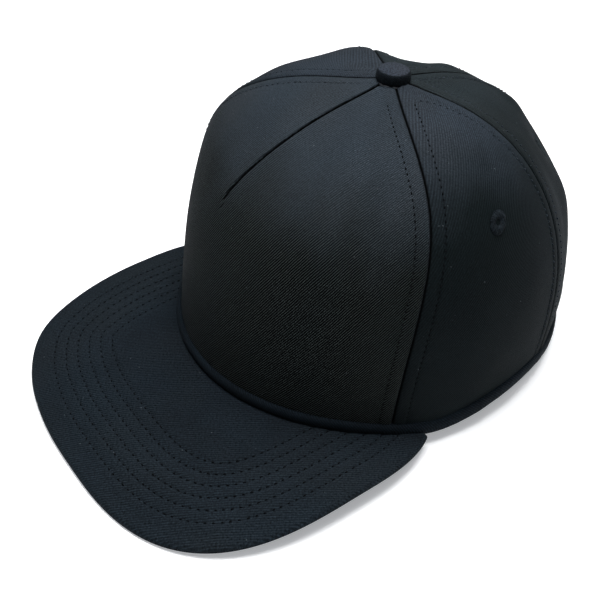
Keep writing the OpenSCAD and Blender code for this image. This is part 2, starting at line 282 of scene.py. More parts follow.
def tube(name, rings, uv=None, seam=None, ends=True, body="cap"):
    """A closed tube through rings of points (n, k, 3), with capped ends unless it closes on itself."""
    n, k = rings.shape[:2]
    rows = n - 1 if ends else n
    i, j = np.meshgrid(np.arange(rows), np.arange(k), indexing="ij")
    at = lambda r, c: (r % n) * k + c % k
    faces = np.stack([at(i, j), at(i, j + 1), at(i + 1, j + 1), at(i + 1, j)], -1).reshape(-1, 4)
    verts = rings.reshape(-1, 3)
    flipped = volume(verts, faces) < 0
    if flipped:
        faces = faces[:, ::-1]
    faces = faces.tolist()
    if ends:
        first, last = list(range(k)), list(range((n - 1) * k, n * k))
        faces += [first, last[::-1]] if flipped else [first[::-1], last]
    return piece(name, verts, faces, uv, seam, body)


def gradient_normals(p):
    du = np.gradient(p, axis=1)
    dv = np.gradient(p, axis=0)
    n = np.cross(du, dv)
    return n / np.maximum(np.linalg.norm(n, axis=-1, keepdims=True), 1e-9)


def lay(u, v, angle, tight=1.0, fan=0.0):
    """Cloth map in metres: distance across the wales and along them, for wales at an angle to u.

    tight above 1 packs the wales closer, and fan turns them more the further along v they lie.
    """
    s, c = math.sin(angle * RAD), math.cos(angle * RAD)
    across = tight * (s * u - c * v) + fan * v * v
    return np.stack(np.broadcast_arrays(across, c * u + s * v), -1) * MM


EDGE_STEPS = np.array([0, 0.25, 0.55, 0.9, 1.4, 2.1, 3.0, 4.1, 5.2, 5.9, 6.3, 6.7, 7.3, 8.4])


def fan(s, anchors, mids):
    """Angles of the columns between seam lines, close together beside each line."""
    cols = []
    for g in range(len(anchors) - 1):
        a0, a1 = anchors[g], anchors[g + 1]
        rho = np.linalg.norm(crown((a0 + a1) / 2, s)[:, :2] - [0, LEAN], axis=-1)
        width = np.maximum(np.abs(a1 - a0) * rho, 1e-6)
        scale = np.minimum(1, width / (2.6 * EDGE_STEPS[-1]))
        near = EDGE_STEPS[None, :] * (scale / width)[:, None]
        lo, hi = near[:, -1:], 1 - near[:, -1:]
        inner = lo + (hi - lo) * np.arange(1, mids[g])[None, :] / mids[g]
        f = np.concatenate([near, inner, 1 - near[:, ::-1]], 1)
        if g:
            f = f[:, 1:]
        cols.append(a0[:, None] + (a1 - a0)[:, None] * f)
    return np.concatenate(cols, 1)


def panel_grid(anchors, mids, rows, low_z, q_top=0.034):
    """Angle, share and arc length over a panel between seam lines, rows evenly spaced."""
    s = np.linspace(0, 1, 700) ** 2.0
    s = np.unique(np.concatenate([s, np.linspace(0, 1, 500)]))
    lines = [np.broadcast_to(f(s), s.shape) for f in anchors]
    angle = fan(s, lines, mids)
    pts = crown(angle, s[:, None])
    step = np.linalg.norm(np.diff(pts, axis=0), axis=-1)
    length = np.concatenate([np.zeros((1, angle.shape[1])), np.cumsum(step, 0)])
    a_out, s_out, l_out = [], [], []
    for j in range(angle.shape[1]):
        a0 = angle[0, j]
        start = np.interp(low_z(a0), pts[:, j, 2], length[:, j])
        end = np.interp(math.acos(q_top ** (profile(a0) / 2)) * 2 / math.pi, s, length[:, j])
        at = start + (end - start) * np.linspace(0, 1, rows)
        s_out.append(np.interp(at, length[:, j], s))
        a_out.append(np.interp(at, length[:, j], angle[:, j]))
        l_out.append(at)
    return np.array(a_out).T, np.array(s_out).T, np.array(l_out).T


def beside(a, s, line):
    """Signed distance in millimetres along the surface from a seam line."""
    rho = np.linalg.norm(crown(a, s)[..., :2] - [0, LEAN], axis=-1)
    return (a - line(s)) * rho


def seam_edge(d):
    """Height across a sewn seam: turned-in edge, padded allowance, and the topstitched step."""
    d = np.abs(d)
    return (-1.20 * bell(d, 0.36) - 0.14 * bell(d, 1.0) + 0.34 * smooth(d, 0.5, 1.8)
            * (1 - smooth(d, 4.6, 7.2))
            - 0.24 * bell(d - 6.3, 0.55))


CLOTH_T = 1.2


def panel(name, node, anchors, mids, rows, low_z, seams, extra=None, ripple=0.15, lines=(), angle=55.0,
          tight=1.0, fan=0.0,
          flare=0.1):
    a, s, length = panel_grid(anchors, mids, rows, low_z)
    base = crown(a, s)
    normal = gradient_normals(base)
    if (normal[rows // 2, a.shape[1] // 2] * (base[rows // 2, a.shape[1] // 2] - [0, 0, 40])).sum() < 0:
        normal = -normal
    dist = [beside(a, s, f) for f in seams]
    near = np.min(np.abs(np.stack(dist)), 0)
    height = sum(seam_edge(d) for d in dist)
    soft = smooth(near, 2, 22)
    height = height + ripple * soft * (1.3 * noise(base * [1, 1, 0.6], 34, 1) + 0.7 * noise(base, 15, 2))
    pucker = np.zeros_like(height)
    for d in dist:
        pucker += bell(np.abs(d) - 9, 6) * 0.16 * noise(np.stack([length, d * 0.15, length * 0], -1), 5.2, 3)
    height = height + pucker * (0.5 + ripple)
    if extra:
        height = height + extra(a, s)
    rho = np.linalg.norm(base[..., :2] - [0, LEAN], axis=-1)
    height = height * smooth(rho, 3, 9)
    hang = normal * drape(base)[..., None]
    outer = base + hang + normal * height[..., None]
    inner = base + hang - normal * (CLOTH_T - 0.35 * height)[..., None]
    mid_a = (anchors[0](s) + anchors[-1](s)) / 2
    bow = flare * np.maximum(-np.gradient(rho, axis=0) / np.gradient(length, axis=0) / np.maximum(rho, 1),
                             1e-5)
    reach = (a - mid_a) * rho
    uv = lay(np.sin(bow * reach) / bow, length + (1 - np.cos(bow * reach)) / bow, angle, tight, fan)
    # The dart line above its end counts as a seam in the seam map, so the twill paints shade into its crease
    # too. The map's second coordinate, the length up the panel, drives the twill's painted top light.
    if lines:
        near = np.minimum(near, np.min([np.where(on(s), np.abs(beside(a, s, f)), 99) for f, on in lines], 0))
    seam = np.stack([near * 10, length], -1) * MM
    ob = closed(name, outer, inner, uv, seam)
    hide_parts(node)
    return ob


def under_roll(a):
    return rim_low(a) + rim_tall(a) - 0.9


def dart(a, s):
    """Height of the cloth at the dart: a turned lip, a groove, and the crease where it ends."""
    d = beside(a, s, dart_line)
    on = smooth(s, DART_END - 0.01, DART_END + 0.06)
    lip = 0.55 * bell(d + 1.2, 0.9) + 0.30 * smooth(-d, 1, 2.5) * (1 - smooth(-d, 4.5, 7))
    tail = bell((s - DART_END + 0.012) / 0.016, 1) * bell(d - 1.6, 0.45)
    return on * (lip - 1.25 * bell(d, 0.38)) - 0.7 * tail - 0.22 * bell(d, 3) * bell((s - DART_END) / 0.03, 1)


LEFT, RIGHT = left_seam, right_seam
NEG_REAR = lambda s: -rear_seam(s)
CENTRE_L = lambda s: np.full_like(np.asarray(s, float), math.pi)
CENTRE_R = lambda s: np.full_like(np.asarray(s, float), -math.pi)

front = panel("front_panel_cloth", "front_panel", [RIGHT, dart_line, LEFT], [34, 44], 110, under_roll,
              [RIGHT, LEFT], dart, 0.10, [(dart_line, lambda s: s > DART_END)],
              angle=50.0, tight=1.25, fan=0.002, flare=0.5)
left_side = panel("left_side_cloth", "left_side_panel", [LEFT, rear_seam], [36], 100, under_roll,
                  [LEFT, rear_seam], None, 0.45, (), 56.0)
right_side = panel("right_side_cloth", "right_side_panel", [NEG_REAR, RIGHT], [36], 100, under_roll,
                   [NEG_REAR, RIGHT], None, 0.45, (), 56.0)

# ---------------------------------------------------------------- rear panels and the opening's binding
ARCH_A, ARCH_H, BIND = 28.0, 48.0, 4.6


def arch_z(a, grow=0.0):
    f = (180 - np.abs(a) / RAD) / (ARCH_A + grow * 0.5)
    return np.where(f < 1, (ARCH_H + grow) * np.sqrt(np.clip(1 - f * f, 0, 1)), 0)


def over_arch(a):
    z = arch_z(a, 2.4)
    return np.maximum(z, under_roll(a) * (z <= 0)) + 0.0 * a


def rear_low(a):
    """Lower edge of a rear panel: over the opening, or under the roll beside it."""
    return max(float(over_arch(a)), float(under_roll(a)) if abs(a) / RAD < 180 - ARCH_A else 0)


left_rear = panel("left_rear_cloth", "left_rear_panel", [rear_seam, CENTRE_L], [56], 96,
                  rear_low,
                  [rear_seam, CENTRE_L], None, 0.60, (), 60.0)
right_rear = panel("right_rear_cloth", "right_rear_panel", [CENTRE_R, NEG_REAR], [56], 96,
                   rear_low,
                   [CENTRE_R, NEG_REAR], None, 0.60, (), 60.0)


def oval(k, power=2.5):
    """Points round a unit superellipse, as (across, out)."""
    w = np.linspace(0, 2 * math.pi, k, endpoint=False)
    c, s = np.cos(w), np.sin(w)
    return np.sign(c) * np.abs(c) ** (2 / power), np.sign(s) * np.abs(s) ** (2 / power), w


def sweep(name, centre, across, out, half_w, half_t, k=20, power=2.5, dent=None, body="cap", ends=True):
    """A closed band along centre with a rounded section: half_w along across, half_t along out."""
    n = len(centre)
    ca, so = oval(k, power)[:2]
    hw = np.broadcast_to(half_w, (n,))[:, None]
    ht = np.broadcast_to(half_t, (n,))[:, None]
    x, y = hw * ca[None], ht * so[None]
    if dent is not None:
        y = y + dent(np.arange(n)[:, None], ca[None], so[None]) * np.sign(so[None])
    rings = centre[:, None] + across[:, None] * x[..., None] + out[:, None] * y[..., None]
    length = np.concatenate([[0], np.cumsum(np.linalg.norm(np.diff(centre, axis=0), axis=1))])
    around = np.cumsum(np.hypot(np.diff(ca, append=ca[0]) * np.mean(half_w),
                                np.diff(so, append=so[0]) * np.mean(half_t)))
    uv = lay(length[:, None], around[None], 52.0)
    # The seam map brings the twill's painted crease shade in along the band's two long edges.
    seam = np.stack([np.broadcast_to((1 - np.abs(ca))[None] * hw * 0.01 + 0.008, (n, k)),
                     np.full((n, k), 0.03)], -1)
    return tube(name, rings, uv, seam, ends, body)


def binding():
    t = np.linspace(0, math.pi, 91)
    grow = BIND * 0.42
    a = math.pi - (ARCH_A + grow * 0.5) * RAD * np.cos(t)
    z = np.maximum((ARCH_H + grow) * np.sin(t) ** 0.98, 3.0)
    s = share_at(a, z)
    path = crown(a, s, 0.55)
    normal = crown_normal(a, s)
    normal *= np.sign((normal * (path - [0, 0, 40])).sum(-1, keepdims=True))
    along = np.gradient(path, axis=0)
    along /= np.linalg.norm(along, axis=-1, keepdims=True)
    across = np.cross(normal, along)
    wave = 0.12 * noise(path, 5, 5)
    ob = sweep("arch_binding_cloth", path + normal * wave[:, None], across, normal, BIND / 2, 1.45, 22, 3.2,
               lambda i, c, o: -0.28 * bell(c - 0.55, 0.16))
    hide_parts("arch_binding")
    return ob


arch_binding = binding()

# ---------------------------------------------------------------- rolled rim
ROLL_END = 152.3


def roll_path(n=420):
    a = np.linspace(-ROLL_END, ROLL_END, n) * RAD
    low, tall = rim_low(a), rim_tall(a)
    z = low + tall / 2
    s = share_at(a, np.maximum(z, 0.4))
    p = crown(a, s)
    p[:, 2] = z
    out = np.stack([np.sin(a), -np.cos(a), 0 * a], -1)
    tangent = np.gradient(p, axis=0)
    tangent /= np.linalg.norm(tangent, axis=-1, keepdims=True)
    out = out - tangent * (out * tangent).sum(-1, keepdims=True)
    out /= np.linalg.norm(out, axis=-1, keepdims=True)
    return a, p, tangent, out, tall


def rim_roll():
    a, p, tangent, out, tall = roll_path()
    across = np.cross(out, tangent)
    across *= np.sign(across[:, 2:])
    proud = np.interp(np.abs(a) / RAD, [0, 60, 90, 152], [2.1, 2.0, 1.7, 1.5])
    wave = 0.12 * noise(p, 9, 4) + 0.07 * noise(p, 3.5, 6)
    for seam_a in (60.81, -54.08, 118.51, -118.51):
        wave = wave + 0.28 * bell((a / RAD - seam_a) * 1.6, 2.2) - 0.5 * bell((a / RAD - seam_a) * 1.6, 0.5)
    ob = sweep("rim_roll_cloth", p + out * (proud - 2.15 + wave)[:, None], across, out, tall / 2, 2.15, 26,
               2.5)
    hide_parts("rim_roll")
    return ob


roll = rim_roll()

# ---------------------------------------------------------------- peak
# Peak: half width and corner power at left and right, sideways shift, reach and tail, from the same fit
P_LEFT, P_RIGHT, P_SHIFT = (90.38, 2.66), (100.53, 2.94), 6.6
P_FRONT, P_MID, P_TAIL, P_TAIL_POW = 87.91, -77.32, 75.09, 2.91
PEAK_T, PEAK_END, PEAK_WRAP = 3.6, 120.0, 71.0
STITCH_ROWS = [11.5, 17.15, 22.8, 28.45, 34.1, 39.75]


# Surface of the peak: where it starts and how long it is, its half width, and its rise, drop and curl
PEAK_FROM, PEAK_LONG, PEAK_WIDE = 30.9, 133.9, 92.7
PEAK_BASE, PEAK_RISE, PEAK_DROP, PEAK_CUP, PEAK_CURL = 0.27, 18.81, 32.48, 0.3, 7.02


def peak_z(x, y):
    """Height of the peak's upper face."""
    u = (-y - PEAK_FROM) / PEAK_LONG
    v = (x / PEAK_WIDE) ** 2
    return PEAK_BASE + PEAK_RISE * u - PEAK_DROP * u * u + PEAK_CUP * v - PEAK_CURL * v * u


def peak_edge(w):
    """Outline of the peak as it lies, a little further out at the wearer's left."""
    c, s = np.cos(w), np.sin(w)
    half, corner = (np.where(s > 0, P_LEFT[k], P_RIGHT[k]) for k in (0, 1))
    power, reach = np.where(c >= 0, corner, P_TAIL_POW), np.where(c >= 0, P_FRONT, P_TAIL)
    turned = w / RAD
    grow = 1 + 0.045 * bell(turned + 120, 24) + 0.015 * bell(turned + 54, 14) + 0.012 * smooth(turned, -20, 0)
    return np.stack([half * grow * np.sign(s) * np.abs(s) ** (2 / corner) + P_SHIFT,
                     P_MID - reach * grow * np.sign(c) * np.abs(c) ** (2 / power)], -1)


def even_edge(n):
    w = np.linspace(-PEAK_END, PEAK_END, 6001) * RAD
    p = peak_edge(w)
    length = np.concatenate([[0], np.cumsum(np.linalg.norm(np.diff(p, axis=0), axis=1))])
    at = np.linspace(0, length[-1], n)
    q = np.stack([np.interp(at, length, p[:, 0]), np.interp(at, length, p[:, 1])], -1)
    tangent = np.gradient(q, axis=0)
    tangent /= np.linalg.norm(tangent, axis=-1, keepdims=True)
    inward = np.stack([tangent[:, 1], -tangent[:, 0]], -1)
    inward *= np.sign((inward * ([0, -80] - q)).sum(-1, keepdims=True))
    return q, inward, at, at[-1]


OUTLINE = even_edge(1400)[0]


def edge_distance(xy):
    flat = xy.reshape(-1, 2)
    out = np.empty(len(flat))
    for i in range(0, len(flat), 4000):
        d = flat[i:i + 4000, None] - OUTLINE[None]
        out[i:i + 4000] = np.sqrt((d ** 2).sum(-1).min(1))
    return out.reshape(xy.shape[:-1])


def rim_plan(a, depth):
    r = crown_r(a) - depth
    return np.stack([r * np.sin(a), -r * np.cos(a)], -1)


def peak_columns(n, rows, inner_depth, start=1.8):
    """Plan grid from the outer edge to under the rim, even along the edge."""
    q, inward, at, total = even_edge(n)
    f = at / total * 2 - 1
    inner = rim_plan(f * PEAK_WRAP * RAD, inner_depth)
    first = q + inward * start
    t = np.linspace(0, 1, rows)[:, None, None]
    return q, inward, first[None] * (1 - t) + inner[None] * t


def quilting(d):
    """Height across the sewn rows: a groove at each row and a soft ridge between rows."""
    h = 0
    for r in STITCH_ROWS:
        h = h - 0.34 * bell(d - r, 0.75)
    for a, b in zip([6.8] + STITCH_ROWS, STITCH_ROWS + [45.5]):
        h = h + 0.20 * bell(d - (a + b) / 2, 2.2)
    return h


def peak_cover(name, node, side):
    """One cover of the peak: half of the edge's roll, the quilted face, and a turn-in under the rim."""
    n, rows = 340, 150
    q, inward, plan = peak_columns(n, rows, 1.6)
    half = PEAK_T / 2
    bend = np.linspace(0.06, math.pi / 2, 7)
    lead = np.array([q + inward * (half * (1 - math.cos(w))) for w in bend])
    xy = np.concatenate([lead[:-1], plan])
    drop = np.concatenate([half * (1 - np.sin(bend[:-1])), np.zeros(rows)])
    d = edge_distance(xy)
    d[:len(bend) - 1] = half * (1 - np.cos(bend[:-1]))[:, None]
    z = peak_z(xy[..., 0], xy[..., 1])
    pts = np.concatenate([xy, np.zeros(xy.shape[:-1] + (1,))], -1)
    height = quilting(d) + 0.10 * noise(pts, 24, 8) + 0.05 * noise(pts, 7, 9)
    height = height * smooth(d, 1.5, 6) * (1 if side > 0 else 0.7)
    body = np.broadcast_to(drop[:, None], z.shape)
    top = z - half + side * (half - body + height)
    outer = np.concatenate([xy, top[..., None]], -1)
    shell = 0.75
    inner_xy = xy.copy()
    inner_xy[:len(bend) - 1] += inward[None] * (shell * np.cos(bend[:-1]))[:, None, None]
    thick = np.concatenate([shell * np.sin(bend[:-1]), np.full(rows, shell)])
    thick[0] = 0.12
    inner = np.concatenate([inner_xy, (top - side * thick[:, None])[..., None]], -1)
    uv = lay(xy[..., 0], xy[..., 1], 54.0)
    # The seam map keeps the twill's painted crease shade off the peak. Its second coordinate, the distance
    # from the edge, darkens the peak towards the crown as painted shade.
    seam = np.stack([d * 10 + 16, d], -1) * MM
    ob = closed(name, outer, inner, uv, seam)
    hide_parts(node)
    return ob


peak_top = peak_cover("peak_top_cloth", "peak_top_cover", 1)
peak_under = peak_cover("peak_under_cloth", "peak_under_cover", -1)


def peak_board():
    n, rows = 120, 24
    plan = peak_columns(n, rows, 0.2, 1.3)[-1]
    z = peak_z(plan[..., 0], plan[..., 1])
    top = np.concatenate([plan, (z - 0.95)[..., None]], -1)
    low = np.concatenate([plan, (z - PEAK_T + 0.95)[..., None]], -1)
    ob = closed("peak_board_plate", top, low, plan * MM)
    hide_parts("peak_board")
    return ob


board = peak_board()

# ---------------------------------------------------------------- stitches
def frames(path, normal):
    along = np.gradient(path, axis=0)
    along /= np.maximum(np.linalg.norm(along, axis=-1, keepdims=True), 1e-9)
    normal = normal - along * (normal * along).sum(-1, keepdims=True)
    normal /= np.maximum(np.linalg.norm(normal, axis=-1, keepdims=True), 1e-9)
    return along, normal


def stitch_run(path, normal, pitch=2.9, fill=0.68, sink=0.12, seed=0):
    """Places of the stitches along a path: middle, direction, normal, half length."""
    length = np.concatenate([[0], np.cumsum(np.linalg.norm(np.diff(path, axis=0), axis=1))])
    count = int(length[-1] / pitch)
    if count < 1:
        return []
    rng = np.random.default_rng(100 + seed)
    at = (np.arange(count) + 0.5 + rng.uniform(-0.06, 0.06, count)) * length[-1] / count
    along, up = frames(path, normal)
    pick = lambda t: np.stack([np.interp(at, length, t[:, i]) for i in range(3)], -1)
    return [(m - u * sink, a / np.linalg.norm(a), u / np.linalg.norm(u), pitch * fill / 2)
            for m, a, u in zip(pick(path), pick(along), pick(up))]


def stitches(name, runs, radius=0.26, body="cap", rounds=6):
    """One object of many thread stitches, each a bowed capsule whose ends dive into the cloth."""
    rows = 7
    t = np.linspace(-1, 1, rows)
    girth = np.sqrt(np.clip(1 - np.abs(t) ** 3.2, 0.03, 1))
    bow = radius * 1.0 * (1 - t ** 2) - radius * 0.9 * np.abs(t) ** 3
    w = np.linspace(0, 2 * math.pi, rounds, endpoint=False)
    verts, faces = [], []
    for mid, along, up, half in runs:
        side = np.cross(along, up)
        start = len(verts) * rows * rounds
        ring = (mid + along * (t * half)[:, None] + up * bow[:, None])[:, None] + radius * girth[:, None,
                                                                                                 None] * (
            side * np.cos(w)[None, :, None] + up * np.sin(w)[None, :, None])
        verts.append(ring.reshape(-1, 3))
        for r in range(rows - 1):
            for c in range(rounds):
                d = (c + 1) % rounds
                faces.append((start + r * rounds + c, start + r * rounds + d, start + (r + 1) * rounds + d,
                              start + (r + 1) * rounds + c))
        faces.append(tuple(start + c for c in reversed(range(rounds))))
        faces.append(tuple(start + (rows - 1) * rounds + c for c in range(rounds)))
    return piece(name, np.concatenate(verts), faces, body=body)


def seam_row(line, offset, low, q_top, lift=0.0):
    s = np.linspace(0, 1, 800) ** 2
    a = np.broadcast_to(line(s), s.shape)
    rho = np.linalg.norm(crown(a, s)[:, :2] - [0, LEAN], axis=-1)
    a = a + offset / np.maximum(rho, 4)
    p = crown(a, s)
    keep = (p[:, 2] > low) & (s < math.acos(q_top ** (3.0 / 2)) * 2 / math.pi)
    n = crown_normal(a, s)
    n *= np.sign((n * (p - [0, 0, 40])).sum(-1, keepdims=True))
    return (p + n * (lift + drape(p))[:, None])[keep], n[keep]


def crown_stitches(name, lines, seed):
    runs = []
    for line, low in lines:
        for offset in (-6.3, 6.3):
            seed += 1
            runs += stitch_run(*seam_row(line, offset, low, 0.14), pitch=2.9, fill=0.48, sink=0.06, seed=seed)
    return stitches(name, runs, 0.30)


# The far seams' stitches get the lighter thread, a painted glint of grazing light; the near seams' stitches
# stay black.
crown_thread = crown_stitches("crown_topstitching", [(LEFT, 8.5)], 0)
crown_thread_rear = crown_stitches("crown_topstitching_rear",
                                   [(RIGHT, 8.5), (rear_seam, 9), (NEG_REAR, 9),
                                    (CENTRE_L, ARCH_H + BIND + 2)], 10)


def peak_stitches():
    n, rows = 700, 400
    plan = peak_columns(n, rows, 0.2)[-1]
    d = edge_distance(plan[::8])
    runs = {1: [], -1: []}
    fine = np.linspace(0, 1, rows)
    for k, r in enumerate(STITCH_ROWS):
        pts = []
        for j in range(n):
            col = d[:, j]
            if col.max() < r + 0.3:
                pts.append(None)
                continue
            t = np.interp(r, np.maximum.accumulate(col), fine[::8])
            pts.append(plan[0, j] * (1 - t) + plan[-1, j] * t)
        good = [p for p in pts if p is not None]
        xy = np.array(good)
        for side in (1, -1):
            z = peak_z(xy[:, 0], xy[:, 1]) - PEAK_T / 2 + side * (PEAK_T / 2 - 0.26)
            path = np.concatenate([xy, z[:, None]], -1)
            up = np.tile([0.0, 0.0, float(side)], (len(path), 1))
            runs[side] += stitch_run(path, up, pitch=3.6, fill=0.44, sink=-0.02, seed=40 + k)
    return stitches("peak_top_stitching", runs[1], 0.31), stitches("peak_under_stitching", runs[-1], 0.31)


peak_thread, peak_thread_under = peak_stitches()

# ---------------------------------------------------------------- button
def button():
    k = 72
    top_point = np.array([0, LEAN * (127 - 4) / 127, 127.3])
    prof = [(0.0, 6.05), (2.0, 6.05), (4.0, 6.0), (5.6, 5.9), (6.6, 5.72), (7.2, 5.35), (7.55, 4.75),
            (7.75, 3.9), (7.8, 2.9),
            (7.75, 1.9), (7.65, 1.1), (7.4, 0.55), (6.6, 0.3), (4.0, 0.35), (2.0, 0.5)]
    r = np.array([p[0] for p in prof])
    z = np.array([p[1] for p in prof])
    w = np.linspace(0, 2 * math.pi, k, endpoint=False)
    folds = 0.16 * np.sin(13 * w) + 0.10 * np.sin(23 * w + 1)
    fold = folds[None] * smooth(3.6 - z, 0, 2.4)[:, None] * (r > 5)[:, None]
    rr = r[1:, None] + fold[1:]
    zz = z[1:, None] + 0.06 * np.sin(3 * w + 0.6)[None] * (r[1:, None] < 7)
    rings = np.stack([rr * np.cos(w), rr * np.sin(w), zz + 0 * w], -1)
    verts = np.concatenate([[[0, 0, z[0]]], rings.reshape(-1, 3), [[0, 0, z[-1] + 0.05]]]) + top_point
    n = len(r) - 1
    faces = [(0, 1 + c, 1 + (c + 1) % k) for c in range(k)]
    for i in range(n - 1):
        faces += [(1 + i * k + c, 1 + (i + 1) * k + c, 1 + (i + 1) * k + (c + 1) % k,
                   1 + i * k + (c + 1) % k) for c in range(k)]
    last = 1 + n * k
    faces += [(last, 1 + (n - 1) * k + (c + 1) % k, 1 + (n - 1) * k + c) for c in range(k)]
    arc = np.concatenate([[0], np.cumsum(np.hypot(np.diff(r), np.diff(z)))])
    uv = [[0, 0]] + [[arc[i + 1] * math.cos(b) * MM,
                      arc[i + 1] * math.sin(b) * MM] for i in range(n) for b in w] + [[0, 0]]
    # The seam map gives the button's top the twill's top colours and its side wall the low colours: painted
    # light from above, with the side in painted shade.
    seam = np.array([[0.05, 0.2]] + [[0.05, 0.2 if z[i + 1] > 5.4 else 0.02] for i in range(n) for b in w]
                    + [[0.05, 0.02]])
    ob = piece("button_cloth", verts, faces, uv, seam)
    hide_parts("button_cover")
    return ob


button_cloth = button()

# ---------------------------------------------------------------- eyelets
def eyelet(name, node, a, z, side, lift_=1.0):
    """Embroidered eyelet: satin threads laid round a small hole over a padded oval ring."""
    s = float(share_at(a, z))
    centre = crown(a, s)
    out = crown_normal(np.array(a), np.array(s))
    out = out * np.sign((out * (centre - [0, 0, 40])).sum())
    centre = centre + out * float(drape(centre))
    up = np.array([0, 0, 1.0]) - out * out[2]
    up /= np.linalg.norm(up)
    right = np.cross(up, out)
    rng = np.random.default_rng(int(abs(a) * 100) + side)
    count, turns, rounds, verts, faces = 66, 9, 6, [], []
    w = np.linspace(0, 2 * math.pi, rounds, endpoint=False)
    t = np.linspace(0, 1, turns)
    for i in range(count):
        b = 2 * math.pi * i / count + rng.uniform(-0.03, 0.03)
        lobe = 1 + 0.16 * math.cos(2 * b - 1.2) + rng.uniform(-0.05, 0.05)
        inner, outer = 1.4, (5.0 + 0.6 * abs(math.sin(b)) ** 1.3) * lobe * 0.86
        r = inner + (outer - inner) * t
        swirl = b + 0.16 * (t - 0.5)
        arch = np.sin(math.pi * np.clip(t * 0.96 + 0.02, 0, 1)) ** 0.55
        puff = (1.05 + 0.35 * abs(math.sin(b)) + rng.uniform(-0.08, 0.08)) * arch * lift_ - 0.45
        x, y = r * np.cos(swirl), r * np.sin(swirl)
        path = centre + right * x[:, None] + up * y[:, None] + out * puff[:, None]
        along = np.gradient(path, axis=0)
        along /= np.linalg.norm(along, axis=-1, keepdims=True)
        flat = np.cross(along, out)
        flat /= np.linalg.norm(flat, axis=-1, keepdims=True)
        lift = np.cross(flat, along)
        thick = 0.27 * (0.75 + 0.45 * r / outer)
        across, over = thick[:, None] * np.cos(w), thick[:, None] * np.sin(w)
        ring = path[:, None] + flat[:, None] * across[..., None] + lift[:, None] * over[..., None]
        start = i * turns * rounds
        verts.append(ring.reshape(-1, 3))
        for p in range(turns - 1):
            for q in range(rounds):
                r2 = (q + 1) % rounds
                faces.append((start + p * rounds + q, start + p * rounds + r2, start + (p + 1) * rounds + r2,
                              start + (p + 1) * rounds + q))
        faces.append(tuple(start + q for q in reversed(range(rounds))))
        faces.append(tuple(start + (turns - 1) * rounds + q for q in range(rounds)))
    ob = piece(name, np.concatenate(verts), faces)
    k = 40
    b = np.linspace(0, 2 * math.pi, k, endpoint=False)
    grow = (5.0 + 0.6 * np.abs(np.sin(b)) ** 1.3) * (1 + 0.16 * np.cos(2 * b - 1.2)) * 0.80
    prof = [(0.30, -0.5), (0.30, 0.15 * lift_), (0.45, 0.52 * lift_), (0.65, 0.62 * lift_),
            (0.85, 0.4 * lift_), (1.0, -0.2), (0.9, -0.6)]
    rings = np.array([[centre + right * g * f * math.cos(c) + up * g * f * math.sin(c) + out * h for g,
                       c in zip(grow, b)] for f, h in prof])
    pad = tube(name + "_padding", rings.transpose(1, 0, 2), ends=False)
    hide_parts(node)
    return ob, pad


eyelet_pieces = []
for label, node, a, share in (("left_side_embroidery", "left_side_eyelet", 87.3, 0.772),
                              ("right_side_embroidery", "right_side_eyelet", -87.3, 0.772),
                              ("left_rear_embroidery", "left_rear_eyelet", 150, 0.745),
                              ("right_rear_embroidery", "right_rear_eyelet", -150, 0.745)):
    eyelet_pieces += eyelet(label, node, a * RAD, share * TOP, 1 if a > 0 else -1,
                            1.0 if abs(a) < 100 else 0.45)

# ---------------------------------------------------------------- inside layers
def layer(name, node, angles, low, high, rows, depth, thick, top=None, ring=False, relief=None, body="cap",
          open_cells=None):
    """A closed layer of the crown from columns of angles, between shares low and high."""
    f = np.linspace(0, 1, rows)[:, None]
    lo, hi = np.broadcast_to(low, len(angles[0]) if np.ndim(angles[0]) else (len(angles),)), high
    s = lo + (np.broadcast_to(hi, lo.shape) - lo) * f
    a = np.stack([g(s[:, j]) if callable(g) else np.full(rows, g) for j, g in enumerate(angles)], 1)
    top = depth if top is None else top
    outer, inner = crown(a, s, depth, top), crown(a, s, depth + thick, top + thick)
    if relief is not None:
        add_out, add_in = relief(a, s)
        n = gradient_normals(outer)
        n *= np.sign((n * (outer - [0, 0, 30])).sum(-1, keepdims=True))
        outer, inner = outer + n * add_out[..., None], inner - n * add_in[..., None]
    rho = np.linalg.norm(outer[..., :2] - [0, LEAN], axis=-1)
    step = np.concatenate([np.zeros((1, a.shape[1])),
                           np.cumsum(np.linalg.norm(np.diff(outer, axis=0), axis=-1), 0)])
    uv = np.stack([(a - np.mean(a[0])) * rho, step], -1) * MM
    ob = closed(name, outer, inner, uv, None, ring, body, open_cells)
    if node:
        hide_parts(node)
    return ob


def share_of(a, q):
    return math.acos(q ** (profile(a) / 2)) * 2 / math.pi


def low_share(a, z):
    return float(share_at(a, z))


def buckram():
    f = np.linspace(0.05, 0.95, 42)
    cols = [lambda s, k=k: right_seam(s) + (left_seam(s) - right_seam(s)) * k for k in f]
    a0 = [float(c(0)) for c in cols]
    low = np.array([low_share(a, 32) for a in a0])
    high = np.array([share_of(a, 0.15) for a in a0])
    return layer("front_buckram_mesh", "front_buckram", cols, low, high, 40, 1.75, 0.6)


def tape(name, node, line, depth, low_z, q=0.16):
    def col(off):
        def at(s):
            a = line(s)
            rho = np.linalg.norm(crown(a, s)[..., :2] - [0, LEAN], axis=-1)
            return a + off / np.maximum(rho, 6)
        return at
    offsets = [-5, -4.6, -3.5, -1.8, 0, 1.8, 3.5, 4.6, 5]
    cols = [col(o) for o in offsets]
    a0 = float(line(np.array(0.0)))
    hump = np.array([0, 0.1, 0.18, 0.12, 0.05, 0.12, 0.18, 0.1, 0])
    return layer(name, node, cols, np.full(9, low_share(a0, low_z)), np.full(9, share_of(a0, q)), 46, depth,
                 0.45,
                 relief=lambda a, s: (np.zeros(a.shape),
                                      hump[None] + 0.06 * noise(np.stack([s * 160, a * 3, a * 0], -1), 6,
                                                                12)))


